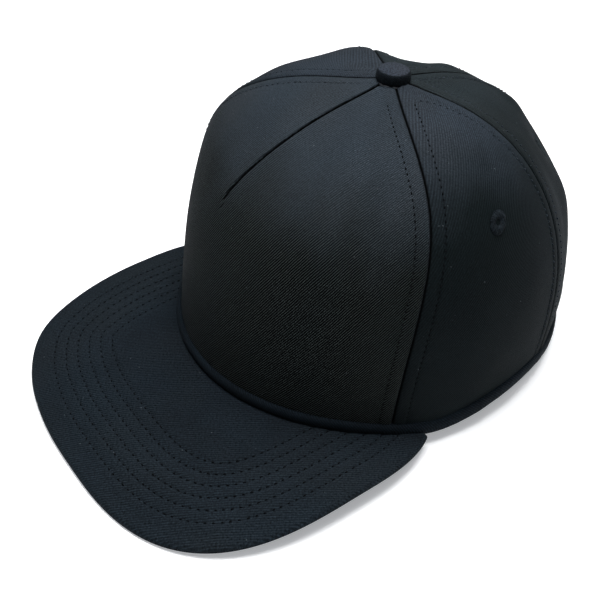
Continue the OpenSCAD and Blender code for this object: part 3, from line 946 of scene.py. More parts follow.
front_buckram = buckram()
OVER = 2.55
UNDER = 1.95
TAPE_PLACES = [("dart", dart_line, OVER, 86), ("left_front", LEFT, OVER, 34),
               ("right_front", RIGHT, OVER, 34),
               ("left_rear", rear_seam, UNDER, 34), ("right_rear", NEG_REAR, UNDER, 34),
               ("centre_back", CENTRE_L, UNDER, 56)]
tapes = [tape(seam + "_seam_tape", seam + "_tape", line, depth, low) for seam, line, depth,
         low in TAPE_PLACES]


def patch(name, node, depth, body):
    """A round fastening patch covered with rows of small loops or hooks."""
    angles = list(np.linspace(-math.pi, math.pi, 121)[:-1])
    low = np.array([share_of(a, 0.30) for a in angles])
    high = np.array([share_of(a, 0.13) for a in angles])
    return layer(name, node, angles, low, high, 26, depth, 0.6, ring=True, body=body,
                 relief=lambda a, s: ((0.12 + 0.12 * noise(crown(a, s), 1.3, 21),
                                       0.12 + 0.12 * noise(crown(a, s), 1.3, 22))))


loop_patch = patch("crown_loop_pile", "crown_loop_patch", 4.0, "cap")
hook_patch = patch("shell_hook_pile", "shell_hook_patch", 5.2, "insert")

# ---------------------------------------------------------------- sweatband
BAND_END = 148.0


def band(name, node, section, thick, n=300, wave=0.0, end=BAND_END):
    """A strip round the inside of the rim from a section of (depth, height) points and a thickness vector."""
    a = np.linspace(-end, end, n) * RAD
    section = np.array(section, float)
    side = np.gradient(section, axis=0)
    side = np.stack([side[:, 1], -side[:, 0]], -1)
    side /= np.linalg.norm(side, axis=-1, keepdims=True)
    s = share_at(a[::6], 16)
    s = np.interp(a, a[::6], s)
    base = crown(a, s)
    out = np.stack([np.sin(a), -np.cos(a)], -1)
    tilt = (crown(a, s + 0.02) - base)
    lean = (tilt[:, :2] * out).sum(-1) / tilt[:, 2]
    low = rim_low(a) * 0.6 + 1.2

    def place(points):
        depth, z = points[:, None, 0], points[:, None, 1]
        z = low[None] + z * (1 + 0 * a[None])
        r = -depth + lean[None] * (z - 16) * 0.6
        bump = wave * noise(np.stack([a[None] * 90 + 0 * z, z * 0.4, 0 * z], -1), 7, 30)
        r = r - bump
        xy = base[None, :, :2] + out[None] * r[..., None]
        return np.concatenate([xy, z[..., None]], -1)

    outer, inner = place(section), place(section - side * thick)
    length = np.concatenate([[0], np.cumsum(np.linalg.norm(np.diff(base, axis=0), axis=1))])
    rise_ = np.concatenate([[0], np.cumsum(np.linalg.norm(np.diff(section, axis=0), axis=1))])
    uv = np.stack(np.broadcast_arrays(length[None], rise_[:, None]), -1) * MM
    ob = closed(name, outer, inner, uv)
    if node:
        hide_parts(node)
    return ob, place


hair = [(6.05, 0.6), (6.2, 3), (6.25, 7), (6.25, 12), (6.25, 17), (6.2, 20.5), (5.95, 21.4), (6.15, 22.3),
        (6.05, 23.4)]
hair += [(4.72 + 1.33 * math.cos(t), 23.6 + 1.5 * math.sin(t)) for t in np.linspace(0.25, math.pi - 0.25, 7)]
hair += [(3.42, 23.2), (3.4, 20.5), (3.4, 18)]
sweatband, band_place = band("sweatband_lining_cloth", "sweatband_lining", hair, 0.42, wave=0.10)
foam, _ = band("sweatband_foam_core", "sweatband_foam",
               [(5.6, 1.0), (5.6, 6), (5.6, 12), (5.6, 18), (5.55, 22.6)], 1.6)
backing, _ = band("sweatband_backing_cloth", "sweatband_backing",
                  [(3.25, 0.8), (3.25, 6), (3.25, 12), (3.25, 17), (3.3, 20)], -0.3)


def band_stitches():
    runs = []
    for k, z in enumerate((3.0, 21.4)):
        grid = band_place(np.array([[6.12 if k else 6.2, z]]))[0]
        inward = -(grid * [1, 1, 0])
        inward /= np.linalg.norm(inward, axis=-1, keepdims=True)
        runs += stitch_run(grid, inward, pitch=2.9, sink=0.0, seed=70 + k)
    return stitches("sweatband_stitching", runs, 0.24)


band_thread = band_stitches()


def label():
    """Blank care label folded over and sewn under the sweatband's lower edge."""
    n, m = 18, 22
    a = np.linspace(128.5, 141.5, m) * RAD
    z = np.linspace(5.5, 21.0, n)
    s = np.interp(a, a, share_at(a, 16))
    base = crown(a, s)
    out = np.stack([np.sin(a), -np.cos(a)], -1)
    lift = 0.5 * smooth(z, 12, 21)[:, None] * (0.6 + 0.4 * np.cos(np.linspace(-1, 1, m) * 2.2))[None]
    r = -(6.75 + lift)
    place = lambda extra: np.concatenate([base[None, :, :2] + out[None] * (r - extra)[..., None],
                                          np.broadcast_to(z[:, None, None], (n, m, 1))], -1)
    uv = np.stack(np.broadcast_arrays(a[None] * 90, z[:, None]), -1) * MM
    ob = closed("blank_care_label", place(0.0), place(0.28), uv)
    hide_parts("care_label")
    return ob


care = label()

# ---------------------------------------------------------------- hard shell
SHELL_IN, SHELL_TOP, SHELL_T, PAD_T = 6.9, 6.4, 1.8, 5.0
VENTS = [4, 7, 10, 14, 17, 20, 27, 30, 33, 37, 40, 43]


def shell_low(a):
    return low_share(a, (0.33 + 0.1 * ((1 - math.cos(a)) / 2) ** 3) * TOP)


def shell():
    per, n_cols, n_rows = 6, 288, 73
    col = np.arange(n_cols) / per
    row = np.linspace(0, 12, n_rows)
    cc, rr = np.meshgrid(col, row)
    gone = np.zeros((n_rows - 1, n_cols), bool)
    for v in VENTS:
        x = (cc - (v + 0.5)) / 0.5
        y = (rr - 6.5) / 1.5
        g = np.where(np.abs(y) < 1, np.clip(1 - np.abs(y) ** 7, 0, 1) ** (1 / 3.0), 0)
        g = np.maximum(np.maximum(g, 0.42), smooth(np.abs(y), 1.0, 1.35))
        near = np.abs(x) < 2.9
        moved = np.where(np.abs(x) <= 1, x * g, np.sign(x) * (g + (np.abs(x) - 1) * (3 - g) / 2))
        cc = np.where(near, v + 0.5 + 0.5 * moved, cc)
        j = np.arange(v * per, (v + 1) * per)
        rows = np.where((row[:-1] >= 5 - 1e-6) & (row[1:] <= 8 + 1e-6))[0]
        gone[np.ix_(rows, j)] = True
    a = cc * 7.5 * RAD
    low = np.array([shell_low(b) for b in np.arange(n_cols) / n_cols * 2 * math.pi])
    low = np.interp(a, np.linspace(0, 2 * math.pi, n_cols, endpoint=False), low, period=2 * math.pi)
    high = np.array([share_of(b, 0.05) for b in a.ravel()]).reshape(a.shape)
    s = low + (high - low) * rr / 12
    outer = crown(a, s, SHELL_IN, SHELL_TOP)
    inner = crown(a, s, SHELL_IN + SHELL_T, SHELL_TOP + SHELL_T)
    n = gradient_normals(outer)
    n *= np.sign((n * (outer - [0, 0, 30])).sum(-1, keepdims=True))
    height = np.zeros(a.shape)
    for v in VENTS:
        x = np.abs(cc - (v + 0.5)) / 0.5
        y = np.abs(rr - 6.5) / 1.5
        height += 0.38 * bell(np.where(y < 1.2, x - 1.35, 9), 0.22) * (1 - smooth(y, 1.0, 1.25))
    height += 0.35 * bell(rr - 0.35, 0.22) - 0.9 * bell(rr, 0.12)
    height += 0.30 * (bell(rr - 3.6, 0.1) + bell(rr - 9.3, 0.1))
    inner = inner + n * (0.45 * bell(rr, 0.12))[..., None]
    ob = closed("hard_shell_moulding", outer + n * height[..., None], inner, None, None, True, "insert", gone)
    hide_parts("hard_shell")
    return ob


shell_piece = shell()


def pad(name, node, c0, c1, r0, r1, channels):
    """A foam pad moulded to the shell: crowned, edges drawn in, with pressed channels."""
    ring = c1 - c0 == 48
    m, n = (168 if ring else 10 * (c1 - c0) + 1), 12 * (r1 - r0) + 1
    f = np.linspace(0, 1, m + 1 if ring else m)[:m]
    g = np.linspace(0, 1, n)
    ff, gg = np.meshgrid(f, g)
    inset = 0 if ring else 0.012
    cols = c0 + (c1 - c0) * (inset + (1 - 2 * inset) * ff)
    if not ring:
        cols = cols + 0.28 * (2 * ff - 1) * (-np.abs(2 * gg - 1) ** 2.6)
    rows = r0 + (r1 - r0) * gg - (0 if ring else 0.12 * (2 * gg - 1) * np.abs(2 * ff - 1) ** 2.4)
    a = cols * 7.5 * RAD
    circle = np.linspace(-math.pi, math.pi, 97)
    lows = np.array([shell_low(b) for b in circle])
    low = np.interp((a + math.pi) % (2 * math.pi) - math.pi, circle, lows)
    high = np.array([share_of(b, 0.05) for b in a.ravel()]).reshape(a.shape)
    s = low + (high - low) * rows / 12
    u = np.zeros_like(ff) if ring else np.abs(2 * ff - 1)
    v = np.abs(2 * gg - 1)
    full = (1 - u ** 7) ** 0.42 * (1 - v ** 7) ** 0.42
    dent = np.zeros_like(full)
    for kind, at in channels:
        d = (np.abs(((ff - at + 0.5) % 1) - 0.5) * (c1 - c0) if kind == "up" else np.abs(gg - at) * (r1 - r0)
             * 0.8)
        dent = np.maximum(dent, 0.62 * bell(d, 0.20))
    thick = 0.5 + (PAD_T - 0.6) * full * (1 - dent * full) + 0.12 * noise(crown(a, s), 11, 41)
    base_in, base_top = SHELL_IN + SHELL_T + 0.08, SHELL_TOP + SHELL_T + 0.08
    outer = crown(a, s, base_in, base_top)
    t = thick[..., None]
    far = crown(a, s, base_in + PAD_T, base_top + PAD_T)
    inner = outer + (far - outer) * t / PAD_T
    ob = closed(name, outer, inner, None, None, ring, "insert")
    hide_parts(node)
    return ob


pads = [pad("crown_pad_foam", "crown_pad", 0, 48, 9, 12, [("up", k / 6) for k in range(6)]),
        pad("front_pad_foam", "front_pad", -4, 4, 1, 7, [("up", 0.5), ("across", 0.5)]),
        pad("rear_pad_foam", "rear_pad", 20, 28, 1, 6, [("up", 0.5), ("across", 0.5)]),
        pad("left_pad_foam", "left_pad", 8, 16, 1, 7, [("up", 0.5), ("across", 0.5)]),
        pad("right_pad_foam", "right_pad", 32, 40, 1, 7, [("up", 0.5), ("across", 0.5)])]

# ---------------------------------------------------------------- back strap
STRAP_LOW, STRAP_W, STRAP_T, BEND_X, PITCH, HOLE_R = 7.0, 18.0, 1.4, 27.0, 6.5, 2.1


def cad_plan(a, depth):
    """The CAD model's rim outline, which the strap's nodes follow."""
    back = np.where(np.cos(a) > 0, 93.0, 110.5)
    r = ((np.abs(np.sin(a)) / 90.0) ** ROUND + (np.abs(np.cos(a)) / back) ** ROUND) ** (-1 / ROUND) - depth
    return np.stack([r * np.sin(a), -r * np.cos(a)], -1)


STRAP_Y = float(cad_plan(math.pi - math.asin(BEND_X / 110.5), 1.7)[1])


def strap(name, nodes, side, y, holes):
    """One strap: sewn root, the bend it flexes at, and a tongue with a rounded tip."""
    start = RAD * 144.5
    end_a = math.pi - math.asin((BEND_X + 2.2) / 108.5)
    a = np.linspace(start, end_a, 26)
    f = np.clip((a - RAD * 152) / (end_a - RAD * 152), 0, 1)
    root = cad_plan(a, 1.75 + (STRAP_Y - y) * f ** 2)
    tip = -(BEND_X - 3)
    block = 12
    first = -PITCH * 3.5
    flat_x = [BEND_X - 0.8, BEND_X - 2.2, 25.0, 24.0]
    x_cells = np.arange(7 * block + 1) / block * PITCH + first
    xs = np.concatenate([flat_x, x_cells[::-1][x_cells[::-1] <= 23.2]])
    extra = np.linspace(xs[-1], tip, 4)[1:]
    xs = np.concatenate([xs, extra])
    plan = np.concatenate([root, np.stack([xs, np.full(len(xs), y)], -1)])
    zc = STRAP_LOW + STRAP_W / 2
    half = np.concatenate([np.linspace(-STRAP_W / 2, -PITCH / 2, 8)[:-1],
                           np.arange(block + 1) / block * PITCH - PITCH / 2,
                           np.linspace(PITCH / 2, STRAP_W / 2, 8)[1:]])
    n, m = len(plan), len(half)
    X = np.broadcast_to(plan[:, 0:1], (n, m)).copy()
    Y = np.broadcast_to(plan[:, 1:2], (n, m)).copy()
    Z = np.broadcast_to(half[None], (n, m)).copy()
    gone = np.zeros((n - 1, m - 1), bool)
    tongue = np.arange(n) >= len(root)
    if holes:
        for h in range(7):
            hx = (h - 3) * PITCH
            u, v = (X - hx) / (PITCH / 2), Z / (PITCH / 2)
            c = np.maximum(np.abs(u), np.abs(v))
            near = (c < 0.999) & tongue[:, None]
            circle = HOLE_R / (PITCH / 2)
            norm = np.maximum(np.hypot(u, v), 1e-6)
            k = (c - 0.5) / 0.5
            reach = np.minimum(c / 0.5, 1)
            round_u, round_v = u / norm * circle * reach, v / norm * circle * reach
            square = np.clip(k, 0, 1)
            nu, nv = round_u * (1 - square) + u * square, round_v * (1 - square) + v * square
            cu, cv = (u[:-1, :-1] + u[1:, 1:]) / 2, (v[:-1, :-1] + v[1:, 1:]) / 2
            gone |= (np.maximum(np.abs(cu), np.abs(cv)) < 0.5) & tongue[:-1, None] & tongue[1:, None]
            X = np.where(near, hx + nu * PITCH / 2, X)
            Z = np.where(near, nv * PITCH / 2, Z)
    tip_c = tip + STRAP_W / 2
    over = np.clip((tip_c - X) / (STRAP_W / 2), 0, 0.985)
    shrink = np.where(tongue[:, None], np.sqrt(1 - over ** 2), 1)
    edge = smooth(np.abs(Z), PITCH / 2, STRAP_W / 2)
    Z = Z * (1 - edge * (1 - shrink)) if holes else Z * shrink
    Z = np.sign(Z) * np.minimum(np.abs(Z), shrink * (STRAP_W / 2)
                                * (0.93 + 0.07 * np.abs(half[None]) / (STRAP_W / 2)))
    pts = np.stack([X, Y, Z + zc], -1)
    tangent = np.gradient(plan, axis=0)
    tangent /= np.linalg.norm(tangent, axis=-1, keepdims=True)
    normal = np.stack([-tangent[:, 1], tangent[:, 0]], -1)
    normal *= np.sign(normal[:, 1:2])
    normal = np.concatenate([normal, np.zeros((n, 1))], 1)[:, None]
    outer, inner = pts, pts - normal * STRAP_T
    mirror = np.array([side, 1, 1])
    uv = np.stack([X, Z], -1) * MM
    ob = closed(name, outer * mirror, inner * mirror, uv, None, False, None, gone)
    soften(ob, 0.32, 2)
    hinge = [side * BEND_X, y - STRAP_T / 2, zc]
    a_, b_ = world(np.array([side * (BEND_X + 2.6), hinge[1], zc])), world(np.array([side * (BEND_X - 2.6),
                                                                                     hinge[1], zc]))
    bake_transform(ob)
    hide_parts(*nodes)
    return ob


def soften(ob, width, segments, angle=40):
    mod = ob.modifiers.new("bevel", "BEVEL")
    mod.width, mod.segments = width * MM, segments
    mod.limit_method, mod.angle_limit = "ANGLE", math.radians(angle)
    mod.harden_normals = False
    dg = bpy.context.evaluated_depsgraph_get()
    new = bpy.data.meshes.new_from_object(ob.evaluated_get(dg))
    old, ob.data = ob.data, new
    ob.modifiers.clear()
    bpy.data.meshes.remove(old)


hole_strap = strap("hole_strap_band", ["hole_strap_root", "hole_strap_end"], 1, STRAP_Y, True)
PEG_Y = STRAP_Y - STRAP_T - 0.25
peg_strap = strap("peg_strap_band", ["peg_strap_root", "peg_strap_end"], -1, PEG_Y, False)


def pegs():
    prof = [(0, 2.15), (0.8, 2.1), (1.35, 1.9), (1.65, 1.55), (1.62, 1.2), (1.35, 0.95), (1.3, 0.3),
            (1.45, 0.05), (1.6, -0.3), (0, -0.3)]
    k, verts, faces = 24, [], []
    w = np.linspace(0, 2 * math.pi, k, endpoint=False)
    for h in range(7):
        start = len(verts)
        cx, cz = (h - 3) * PITCH, STRAP_LOW + STRAP_W / 2
        verts.append((cx, PEG_Y + prof[0][1], cz))
        for r, z in prof[1:-1]:
            verts += [(cx + r * math.cos(b), PEG_Y + z, cz + r * math.sin(b)) for b in w]
        verts.append((cx, PEG_Y + prof[-1][1], cz))
        last = len(verts) - 1
        faces += [(start, start + 1 + (c + 1) % k, start + 1 + c) for c in range(k)]
        for i in range(len(prof) - 3):
            o, p = start + 1 + i * k, start + 1 + (i + 1) * k
            faces += [(o + c, o + (c + 1) % k, p + (c + 1) % k, p + c) for c in range(k)]
        o = start + 1 + (len(prof) - 3) * k
        faces += [(last, o + c, o + (c + 1) % k) for c in range(k)]
    return piece("strap_snap_pegs", np.array(verts, float), faces, body="peg_strap")


peg_row = pegs()

# ---------------------------------------------------------------- materials
class Nodes:
    """A material's node tree, with short calls for the nodes used here."""

    def __init__(self, name, **sockets):
        self.material = bpy.data.materials.new(name)
        self.material.use_nodes = True
        self.tree = self.material.node_tree
        self.shader = self.tree.nodes["Principled BSDF"]
        for key, value in sockets.items():
            self.shader.inputs[key.replace("_", " ")].default_value = value

    def put(self, kind, **props):
        n = self.tree.nodes.new(kind)
        for key, value in props.items():
            setattr(n, key, value)
        return n

    def join(self, value, socket):
        if isinstance(value, bpy.types.NodeSocket):
            self.tree.links.new(value, socket)
        elif value is not None:
            socket.default_value = value

    def math(self, op, a, b=None, c=None):
        n = self.put("ShaderNodeMath", operation=op)
        for value, socket in zip((a, b, c), n.inputs):
            self.join(value, socket)
        return n.outputs[0]

    def cloth(self, layer="cloth"):
        return self.put("ShaderNodeUVMap", uv_map=layer).outputs[0]

    def object(self):
        return self.put("ShaderNodeTexCoord").outputs["Object"]

    def noise(self, where, scale, detail=2.0, rough=0.5):
        n = self.put("ShaderNodeTexNoise")
        self.join(where, n.inputs["Vector"])
        n.inputs["Scale"].default_value = scale
        n.inputs["Detail"].default_value = detail
        n.inputs["Roughness"].default_value = rough
        return n.outputs[0]

    def dot(self, where, vector):
        n = self.put("ShaderNodeVectorMath", operation="DOT_PRODUCT")
        self.join(where, n.inputs[0])
        n.inputs[1].default_value = vector
        return n.outputs["Value"]

    def ramp(self, value, low, high, a=0.0, b=1.0):
        n = self.put("ShaderNodeMapRange", interpolation_type="SMOOTHSTEP")
        for key, v in zip(("Value", "From Min", "From Max", "To Min", "To Max"), (value, low, high, a, b)):
            self.join(v, n.inputs[key])
        return n.outputs[0]

    def mix(self, factor, a, b):
        n = self.put("ShaderNodeMix", data_type="RGBA")
        self.join(factor, n.inputs[0])
        self.join(a, n.inputs[6])
        self.join(b, n.inputs[7])
        return n.outputs[2]

    def scale(self, color, value):
        v = self.put("ShaderNodeVectorMath", operation="SCALE")
        self.join(color, v.inputs[0])
        self.join(value, v.inputs["Scale"])
        return v.outputs[0]

    def tint(self, color, other):
        v = self.put("ShaderNodeVectorMath", operation="MULTIPLY")
        self.join(color, v.inputs[0])
        self.join(other, v.inputs[1])
        return v.outputs[0]

    def bump(self, height, distance, strength=1.0, normal=None):
        n = self.put("ShaderNodeBump")
        n.inputs["Strength"].default_value = strength
        n.inputs["Distance"].default_value = distance
        self.join(height, n.inputs["Height"])
        self.join(normal, n.inputs["Normal"])
        return n.outputs[0]

    def out(self, color=None, rough=None, normal=None):
        self.join(color, self.shader.inputs["Base Color"])
        self.join(rough, self.shader.inputs["Roughness"])
        self.join(normal, self.shader.inputs["Normal"])
        return self.material


def rgb(r, g, b):
    """Linear colour from 0-255 display values."""
    f = lambda v: v / 255 / 12.92 if v <= 10 else ((v / 255 + 0.055) / 1.055) ** 2.4
    return (f(r), f(g), f(b), 1.0)


def twill(name, low, top, painted_light_span=(0.03, 0.11), pitch=1.1e-3, relief=0.00026, specks=1.0, grain=0.5,
          pulse=-0.35, sheen=0.015):
    """Cotton twill: diagonal wales of short floats, with fuzz and lint.

    low and top are (valley, ridge) colours, low near the rim and top near the crown's top. The change from
    low to top is painted light: the cloth is lighter where the top light falls and darker lower down, in
    shade.
    """
    n = Nodes(name, Roughness=0.86, Specular_IOR_Level=0.04, Sheen_Weight=sheen, Sheen_Roughness=0.42,
              Sheen_Tint=(0.62, 0.76, 0.95, 1.0))
    where = n.cloth()
    sep = n.put("ShaderNodeSeparateXYZ")
    n.join(n.cloth("seam"), sep.inputs[0])
    gap, up = sep.outputs[0], sep.outputs[1]
    # gap is the distance to the nearest seam or dart line. crease is 1 there: it flattens the wales and
    # darkens the colour to near black, painted shade in the crease.
    jag = n.math("MULTIPLY_ADD", n.noise(where, 700, 2), 0.005, gap)
    crease = n.ramp(jag, 0.0055, 0.0105, 1.0, 0.0)
    wobble = n.math("MULTIPLY_ADD", n.noise(where, 900, 2), 0.30,
                    n.math("MULTIPLY", n.noise(where, 60, 2), 0.8))
    across = n.math("ADD", n.dot(where, (1 / pitch, 0, 0)), wobble)
    along = n.math("ADD", n.dot(where, (0, 1 / 0.62e-3, 0)),
                   n.math("MULTIPLY", n.math("FLOOR", across), 0.37))
    wale = n.math("SINE", n.math("MULTIPLY", across, 2 * math.pi))
    float_ = n.math("ABSOLUTE", n.math("SINE", n.math("MULTIPLY", along, math.pi)))
    fine = n.noise(where, 5200, 3, 0.7)
    fuzz = n.math("ADD", n.math("MULTIPLY", fine, 0.4), n.math("MULTIPLY", n.noise(where, 1150, 2, 0.6), 0.6))
    ridge = n.ramp(wale, pulse, 0.95)
    height = n.math("ADD", n.math("MULTIPLY", ridge, 0.72),
                    n.math("MULTIPLY", n.math("MULTIPLY", float_, ridge), 0.22))
    height = n.math("MULTIPLY", n.math("MULTIPLY_ADD", fuzz, 0.3, height), n.math("SUBTRACT", 1.0, crease))
    # tone sets ridge against valley colour. It is partly the weave and partly a painted glint on the wale
    # tops.
    tone = n.math("MULTIPLY", ridge, n.math("MULTIPLY_ADD", float_, 0.35, 0.75))
    # lift mixes the low colours into the top colours. This is painted light that brightens the cloth towards
    # the crown's top; on the peak it is painted shade that darkens the cloth towards the crown.
    lift = n.ramp(n.math("MULTIPLY_ADD", n.math("SUBTRACT", n.noise(where, 26, 3, 0.6), 0.5), 0.05, up),
                  *painted_light_span)
    color = n.mix(tone, n.mix(lift, low[0], top[0]), n.mix(lift, low[1], top[1]))
    flecks = n.math("MULTIPLY_ADD", n.math("SUBTRACT", fuzz, 0.5), 14.0 * grain, 1.0)
    cloudy = n.ramp(n.noise(where, 44, 4, 0.6), 0.3, 0.75, 1.0, 0.84)
    color = n.scale(color, n.math("MULTIPLY", n.math("MAXIMUM", flecks, 0.05), cloudy))
    warm = n.mix(n.ramp(n.noise(where, 20, 3, 0.5), 0.3, 0.7), (1.04, 0.99, 0.96, 1), (0.97, 1.0, 1.03, 1))
    color = n.tint(color, warm)
    # Painted shade: seam and dart creases darkened to near black.
    color = n.mix(crease, color, (0.0002, 0.0003, 0.0003, 1))
    lint = n.put("ShaderNodeTexVoronoi", feature="F1")
    n.join(where, lint.inputs["Vector"])
    lint.inputs["Scale"].default_value = 260
    spot = n.math("MULTIPLY", n.ramp(lint.outputs["Distance"], 0.03, 0.085, 1.0, 0.0),
                  n.ramp(n.noise(where, 190, 1), 0.55, 0.62))
    color = n.mix(n.math("MULTIPLY", spot, 0.5 * specks), color, (0.16, 0.18, 0.2, 1))
    return n.out(color, n.math("MULTIPLY_ADD", fuzz, 0.12, 0.78), n.bump(height, relief))


def thread(name, color, rough=0.5):
    n = Nodes(name, Roughness=rough, Specular_IOR_Level=0.05)
    where = n.object()
    twist = n.math("SINE", n.math("MULTIPLY", n.dot(where, (5200, 6100, 4800)), 1.0))
    color = n.mix(n.ramp(n.noise(where, 900, 2), 0.3, 0.7), color, tuple(v * 2.2 for v in color[:3]) + (1,))
    return n.out(color, None, n.bump(twist, 0.00006))


def tone(level, r=0.78, b=1.1):
    """Near-black cloth colour at a linear level, r and b being red and blue against green."""
    return (level * r, level, level * b, 1.0)


# Panel colours are set against the lamps, so front, side and rear are lit and shaded copies of one cloth.
# Each is darker low down and lighter near the top as painted light, and the front's near-black valleys make
# its ridges a painted glint.
crown_twill = twill("crown_twill", (tone(0.0002), tone(0.046, 0.78, 0.98)),
                    (tone(0.022, 0.77, 1.24), tone(0.045, 0.77, 1.24)), (0.072, 0.130),
                    relief=0.00032, pulse=0.15, grain=0.24)
side_twill = twill("side_twill", (tone(0.0050, 0.60, 1.15), tone(0.0082, 0.60, 1.15)),
                   (tone(0.019, 0.77, 1.28), tone(0.031, 0.77, 1.28)),
                   (0.100, 0.150), relief=0.00008, grain=0.26)
rear_twill = twill("rear_twill", (tone(0.006, 0.66, 1.1), tone(0.009, 0.66, 1.1)),
                   (tone(0.014, 0.74, 1.12), tone(0.022, 0.74, 1.12)),
                   (0.105, 0.155), relief=0.00008, grain=0.26)
# The peak's top colours, nearer the crown, are darker: painted shade of the crown on the peak.
peak_twill = twill("peak_twill", (tone(0.0102, 0.69, 1.30), tone(0.0178, 0.69, 1.30)),
                   (tone(0.0078, 0.67, 1.34), tone(0.0138, 0.67, 1.34)),
                   (0.024, 0.052), relief=0.00012, grain=0.40)
bias_twill = twill("bias_twill", (tone(0.005, 0.62, 1.4), tone(0.012, 0.62, 1.4)), (tone(0.006), tone(0.016)),
                   relief=0.00010, grain=0.26)
button_twill = twill("button_twill", (tone(0.004, 0.7, 1.3), tone(0.010, 0.7, 1.3)),
                     (tone(0.024, 0.82, 1.3), tone(0.034, 0.82, 1.3)), (0.05, 0.15),
                     pitch=0.7e-3, relief=0.00008, grain=0.4)
black_thread = thread("black_thread", (0.0010, 0.0013, 0.0018, 1), 0.8)
# Lighter copy of the black thread for the far seams: painted glint of grazing light.
painted_glint_thread = thread("painted_glint_thread", (0.016, 0.020, 0.025, 1), 0.8)

for ob, mat in ((front, crown_twill), (left_side, side_twill), (right_side, side_twill),
                (left_rear, rear_twill),
                (right_rear, rear_twill), (arch_binding, bias_twill), (roll, bias_twill),
                (peak_top, peak_twill),
                (peak_under, peak_twill), (button_cloth, button_twill), (crown_thread, black_thread),
                (crown_thread_rear, painted_glint_thread),
                (peak_thread, black_thread), (peak_thread_under, black_thread)):
    ob.data.materials.clear()
    ob.data.materials.append(mat)


def knit(name, color, scale, relief=0.00012, rough=0.85, sheen=0.2):
    """Plain-woven or pile cloth without a map: fine crossed threads and slow tone changes."""
    n = Nodes(name, Roughness=rough, Specular_IOR_Level=0.2, Sheen_Weight=sheen, Sheen_Roughness=0.5)
    where = n.object()
    grain = n.noise(where, scale, 3, 0.65)
    threads = n.math("MULTIPLY", n.math("SINE", n.dot(where, (scale * 3.1, scale * 0.6, scale * 1.2))),
                     n.math("SINE", n.dot(where, (scale * 0.5, scale * 1.1, scale * 3.3))))
    height = n.math("MULTIPLY_ADD", threads, 0.5, grain)
    tone = n.math("MULTIPLY_ADD", n.noise(where, scale / 18, 3), 0.5, n.math("MULTIPLY", height, 0.4))
    dark = tuple(v * 0.55 for v in color[:3]) + (1,)
    light = tuple(min(1, v * 1.45) for v in color[:3]) + (1,)
    return n.out(n.mix(tone, dark, light), None, n.bump(height, relief))


def plastic(name, color, rough=0.42, grain=2600, relief=0.00002, wear=0.3):
    """Moulded plastic: fine spark-eroded grain, faint flow marks, scuffs and paler edges."""
    n = Nodes(name, Specular_IOR_Level=0.5, IOR=1.5)
    where = n.object()
    fine = n.noise(where, grain, 3, 0.6)
    cloud = n.noise(where, 28, 4, 0.55)
    scuff = n.ramp(n.noise(where, 160, 6, 0.75), 0.58, 0.74)
    edge = n.ramp(n.put("ShaderNodeNewGeometry").outputs["Pointiness"], 0.505, 0.56)
    base = n.mix(cloud, tuple(v * 0.8 for v in color[:3]) + (1,),
                 tuple(min(1, v * 1.2) for v in color[:3]) + (1,))
    pale = tuple(min(1, v * 1.7 + 0.02) for v in color[:3]) + (1,)
    base = n.mix(n.math("MULTIPLY", n.math("MAXIMUM", scuff, edge), wear), base, pale)
    return n.out(base, n.math("MULTIPLY_ADD", scuff, 0.18, n.math("MULTIPLY_ADD", cloud, 0.12, rough - 0.06)),
                 n.bump(fine, relief))


def metal(name, color, rough=0.32):
    n = Nodes(name, Metallic=1.0)
    where = n.object()
    line = n.noise(where, 700, 4, 0.7)
    stain = n.noise(where, 90, 3)
    return n.out(n.mix(stain, tuple(v * 0.7 for v in color[:3]) + (1,), color),
                 n.math("MULTIPLY_ADD", line, 0.2, rough - 0.1), n.bump(line, 0.00002))


def foam_skin(name, color):
    """Closed-cell foam: pale skin with open pores."""
    n = Nodes(name, Roughness=0.9, Specular_IOR_Level=0.25, Sheen_Weight=0.1)
    where = n.object()
    cells = n.put("ShaderNodeTexVoronoi", feature="SMOOTH_F1")
    n.join(where, cells.inputs["Vector"])
    cells.inputs["Scale"].default_value = 900
    pore = n.ramp(cells.outputs["Distance"], 0.15, 0.55)
    tone = n.math("MULTIPLY_ADD", n.noise(where, 60, 3), 0.5, n.math("MULTIPLY", pore, 0.5))
    return n.out(n.mix(tone, tuple(v * 0.6 for v in color[:3]) + (1,),
                       tuple(min(1, v * 1.3) for v in color[:3]) + (1,)), None, n.bump(pore, 0.0001))


def scrim(name):
    """Stiff white buckram: an open weave of round threads."""
    n = Nodes(name, Roughness=0.8, Specular_IOR_Level=0.3)
    where = n.cloth()
    weave = n.math("MAXIMUM", n.math("SINE", n.dot(where, (2 * math.pi / 0.9e-3, 0, 0))),
                   n.math("SINE", n.dot(where, (0, 2 * math.pi / 0.9e-3, 0))))
    thread_ = n.ramp(weave, 0.0, 0.8)
    return n.out(n.mix(thread_, rgb(120, 118, 108), rgb(214, 211, 200)), None, n.bump(thread_, 0.0002))


def dress(ob, material):
    ob.data.materials.clear()
    ob.data.materials.append(material)


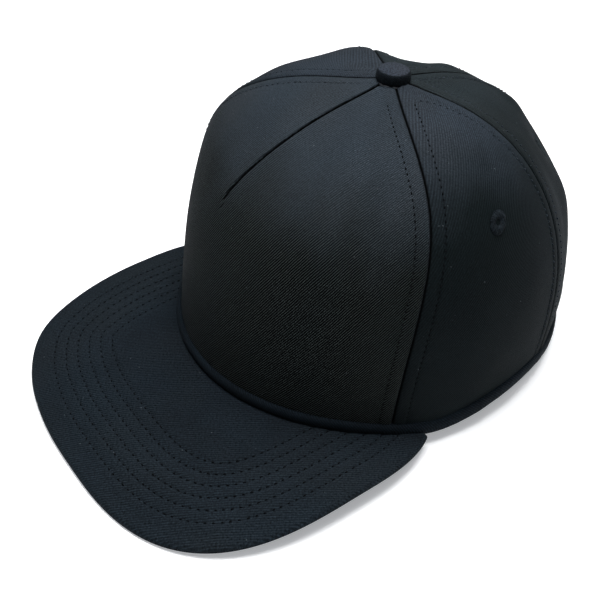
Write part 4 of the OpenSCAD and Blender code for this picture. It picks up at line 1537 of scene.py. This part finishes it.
band_cloth = knit("sweatband_cotton", rgb(30, 33, 38), 1500)
tape_cloth = knit("seam_tape_cloth", rgb(34, 37, 42), 1900)
shell_abs = plastic("shell_abs", rgb(52, 56, 62), 0.38)
strap_poly = plastic("strap_plastic", rgb(17, 18, 20), 0.36, 1800)
eva = foam_skin("pad_eva_foam", rgb(66, 70, 76))
dress(front_buckram, scrim("buckram_scrim"))
dress(foam, foam_skin("sweatband_foam", rgb(70, 72, 74)))
for ob in tapes:
    dress(ob, tape_cloth)
eyelet_thread = thread("eyelet_thread", (0.0042, 0.0060, 0.0078, 1), 0.7)
rear_thread = thread("rear_eyelet_thread", (0.010, 0.013, 0.0145, 1), 0.8)
for ob in eyelet_pieces:
    dress(ob, rear_thread if "rear" in ob.name else eyelet_thread)
for ob in pads:
    dress(ob, eva)
for ob in (sweatband, backing):
    dress(ob, band_cloth)
dress(band_thread, black_thread)
dress(care, knit("label_satin", rgb(206, 203, 194), 2400, 0.00005, 0.6))
dress(loop_patch, knit("loop_pile", rgb(20, 21, 23), 700, 0.0003))
dress(hook_patch, knit("hook_pile", rgb(16, 17, 19), 600, 0.0003))
dress(shell_piece, shell_abs)
dress(board, plastic("board_sheet", rgb(206, 208, 210), 0.45))
for ob in (hole_strap, peg_strap, peg_row):
    dress(ob, strap_poly)
dress(frame["nodes"]["button_shell"], metal("button_steel", rgb(150, 153, 158)))
dress(frame["nodes"]["button_prong"], metal("prong_steel", rgb(170, 172, 176), 0.28))


# ---------------------------------------------------------------- cloth cuts and finishes, listed here but not applied to anything
for ob, size, held, on, area in (
        (front, (0.187, 0.175), "stretched", ["front_buckram_mesh"], 0.0240),
        (left_side, (0.093, 0.180), "draped", ["hard_shell_moulding"], 0.0117),
        (right_side, (0.104, 0.180), "draped", ["hard_shell_moulding"], 0.0132),
        (left_rear, (0.112, 0.178), "draped", ["hard_shell_moulding"], 0.0117),
        (right_rear, (0.112, 0.178), "draped", ["hard_shell_moulding"], 0.0117),
        (front_buckram, (0.152, 0.118), "laid", ["front_panel_cloth"], 0.0163),
        (peak_top, (0.196, 0.142), "stretched", ["peak_board_plate"], 0.0177),
        (peak_under, (0.196, 0.142), "stretched", ["peak_board_plate"], 0.0175),
        (sweatband, (0.545, 0.0285), "folded", ["sweatband_foam_core"], 0.0149),
        (backing, (0.545, 0.0170), "laid", ["sweatband_foam_core"], 0.0091),
        (care, (0.0182, 0.0188), "laid", ["sweatband_lining_cloth"], None),
        (loop_patch, (0.0515, 0.0588), "laid", ["front_buckram_mesh"], 0.0021),
        (hook_patch, (0.0515, 0.0588), "laid", ["hard_shell_moulding"], 0.0020)):
    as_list(on)
for slot, pieces in {"crown_fabric": [front, left_side, right_side, left_rear, right_rear],
                     "peak_fabric": [peak_top, peak_under],
                     "rim_fabric": [roll, arch_binding], "button_fabric": [button_cloth], "seam_tape": tapes,
                     "buckram": [front_buckram],
                     "eyelet_thread": eyelet_pieces
                     + [crown_thread, crown_thread_rear, peak_thread, peak_thread_under, band_thread],
                     "band_fabric": [sweatband, backing], "band_foam": [foam], "label": [care],
                     "loop_tape": [loop_patch],
                     "hook_tape": [hook_patch], "board_plastic": [board],
                     "strap_plastic": [hole_strap, peg_strap, peg_row],
                     "shell_plastic": [shell_piece], "pad_foam": pads}.items():
    for ob in pieces:
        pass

# ---------------------------------------------------------------- floor and light
def stage():
    me = bpy.data.meshes.new("floor")
    side = 12.0
    me.from_pydata([(-side, -side, 0), (side, -side, 0), (side, side, 0), (-side, side, 0)], [],
                   [(0, 1, 2, 3)])
    floor = bpy.data.objects.new("floor", me)
    bpy.context.scene.collection.objects.link(floor)
    # The floor glows weakly near the cap and more strongly further off. This is painted light that lifts the
    # cap's shadow and lights its lower side, and it makes the far floor as pale as the background.
    n = Nodes("pale_floor", Roughness=0.9, Specular_IOR_Level=0.1, Emission_Color=(0.95, 0.97, 1.0, 1.0))
    away = n.put("ShaderNodeVectorMath", operation="LENGTH")
    n.join(n.object(), away.inputs[0])
    n.join(n.ramp(away.outputs["Value"], 0.5, 3.5, 0.35, 0.95), n.shader.inputs["Emission Strength"])
    me.materials.append(n.out(n.mix(n.noise(n.object(), 3, 2), (0.86, 0.865, 0.87, 1),
                                    (0.90, 0.905, 0.91, 1))))


def area_light(name, at, to, size, power, color=(1, 1, 1)):
    data = bpy.data.lights.new(name, "AREA")
    data.shape, data.size, data.energy, data.color = "DISK", size, power, color
    ob = bpy.data.objects.new(name, data)
    bpy.context.scene.collection.objects.link(ob)
    at, to = np.array(at, float), np.array(to, float)
    back = (at - to) / np.linalg.norm(at - to)
    right = np.cross([0, 1, 0] if abs(back[2]) > 0.95 else [0, 0, 1], back)
    right /= np.linalg.norm(right)
    m = np.eye(4)
    m[:3, 0], m[:3, 1], m[:3, 2], m[:3, 3] = right, np.cross(back, right), back, at
    ob.matrix_world = Matrix(m.tolist())


stage()
area_light("top_softbox", (0.02, 0.02, 0.70), (0, 0.0, 0.05), 0.42, 5.6)
area_light("wide_overhead", (-0.2, 0.3, 2.2), (0, 0, 0), 2.2, 34)
area_light("front_fill", (0.35, -1.5, 1.1), (0, 0, 0.06), 0.7, 1.3, (0.9, 0.95, 1.0))
studio = bpy.data.worlds.new("studio")
bpy.context.scene.world = studio
studio.use_nodes = True
tree = studio.node_tree
dim = tree.nodes["Background"]
dim.inputs[0].default_value, dim.inputs[1].default_value = (0.92, 0.95, 1.0, 1), 0.10
pale = tree.nodes.new("ShaderNodeBackground")
pale.inputs[0].default_value, pale.inputs[1].default_value = (0.93, 0.94, 0.95, 1), 1.0
path, mixer = tree.nodes.new("ShaderNodeLightPath"), tree.nodes.new("ShaderNodeMixShader")
tree.links.new(path.outputs["Is Camera Ray"], mixer.inputs[0])
tree.links.new(dim.outputs[0], mixer.inputs[1])
tree.links.new(pale.outputs[0], mixer.inputs[2])
tree.links.new(mixer.outputs[0], tree.nodes["World Output"].inputs[0])
bpy.context.scene.view_settings.view_transform = "Standard"
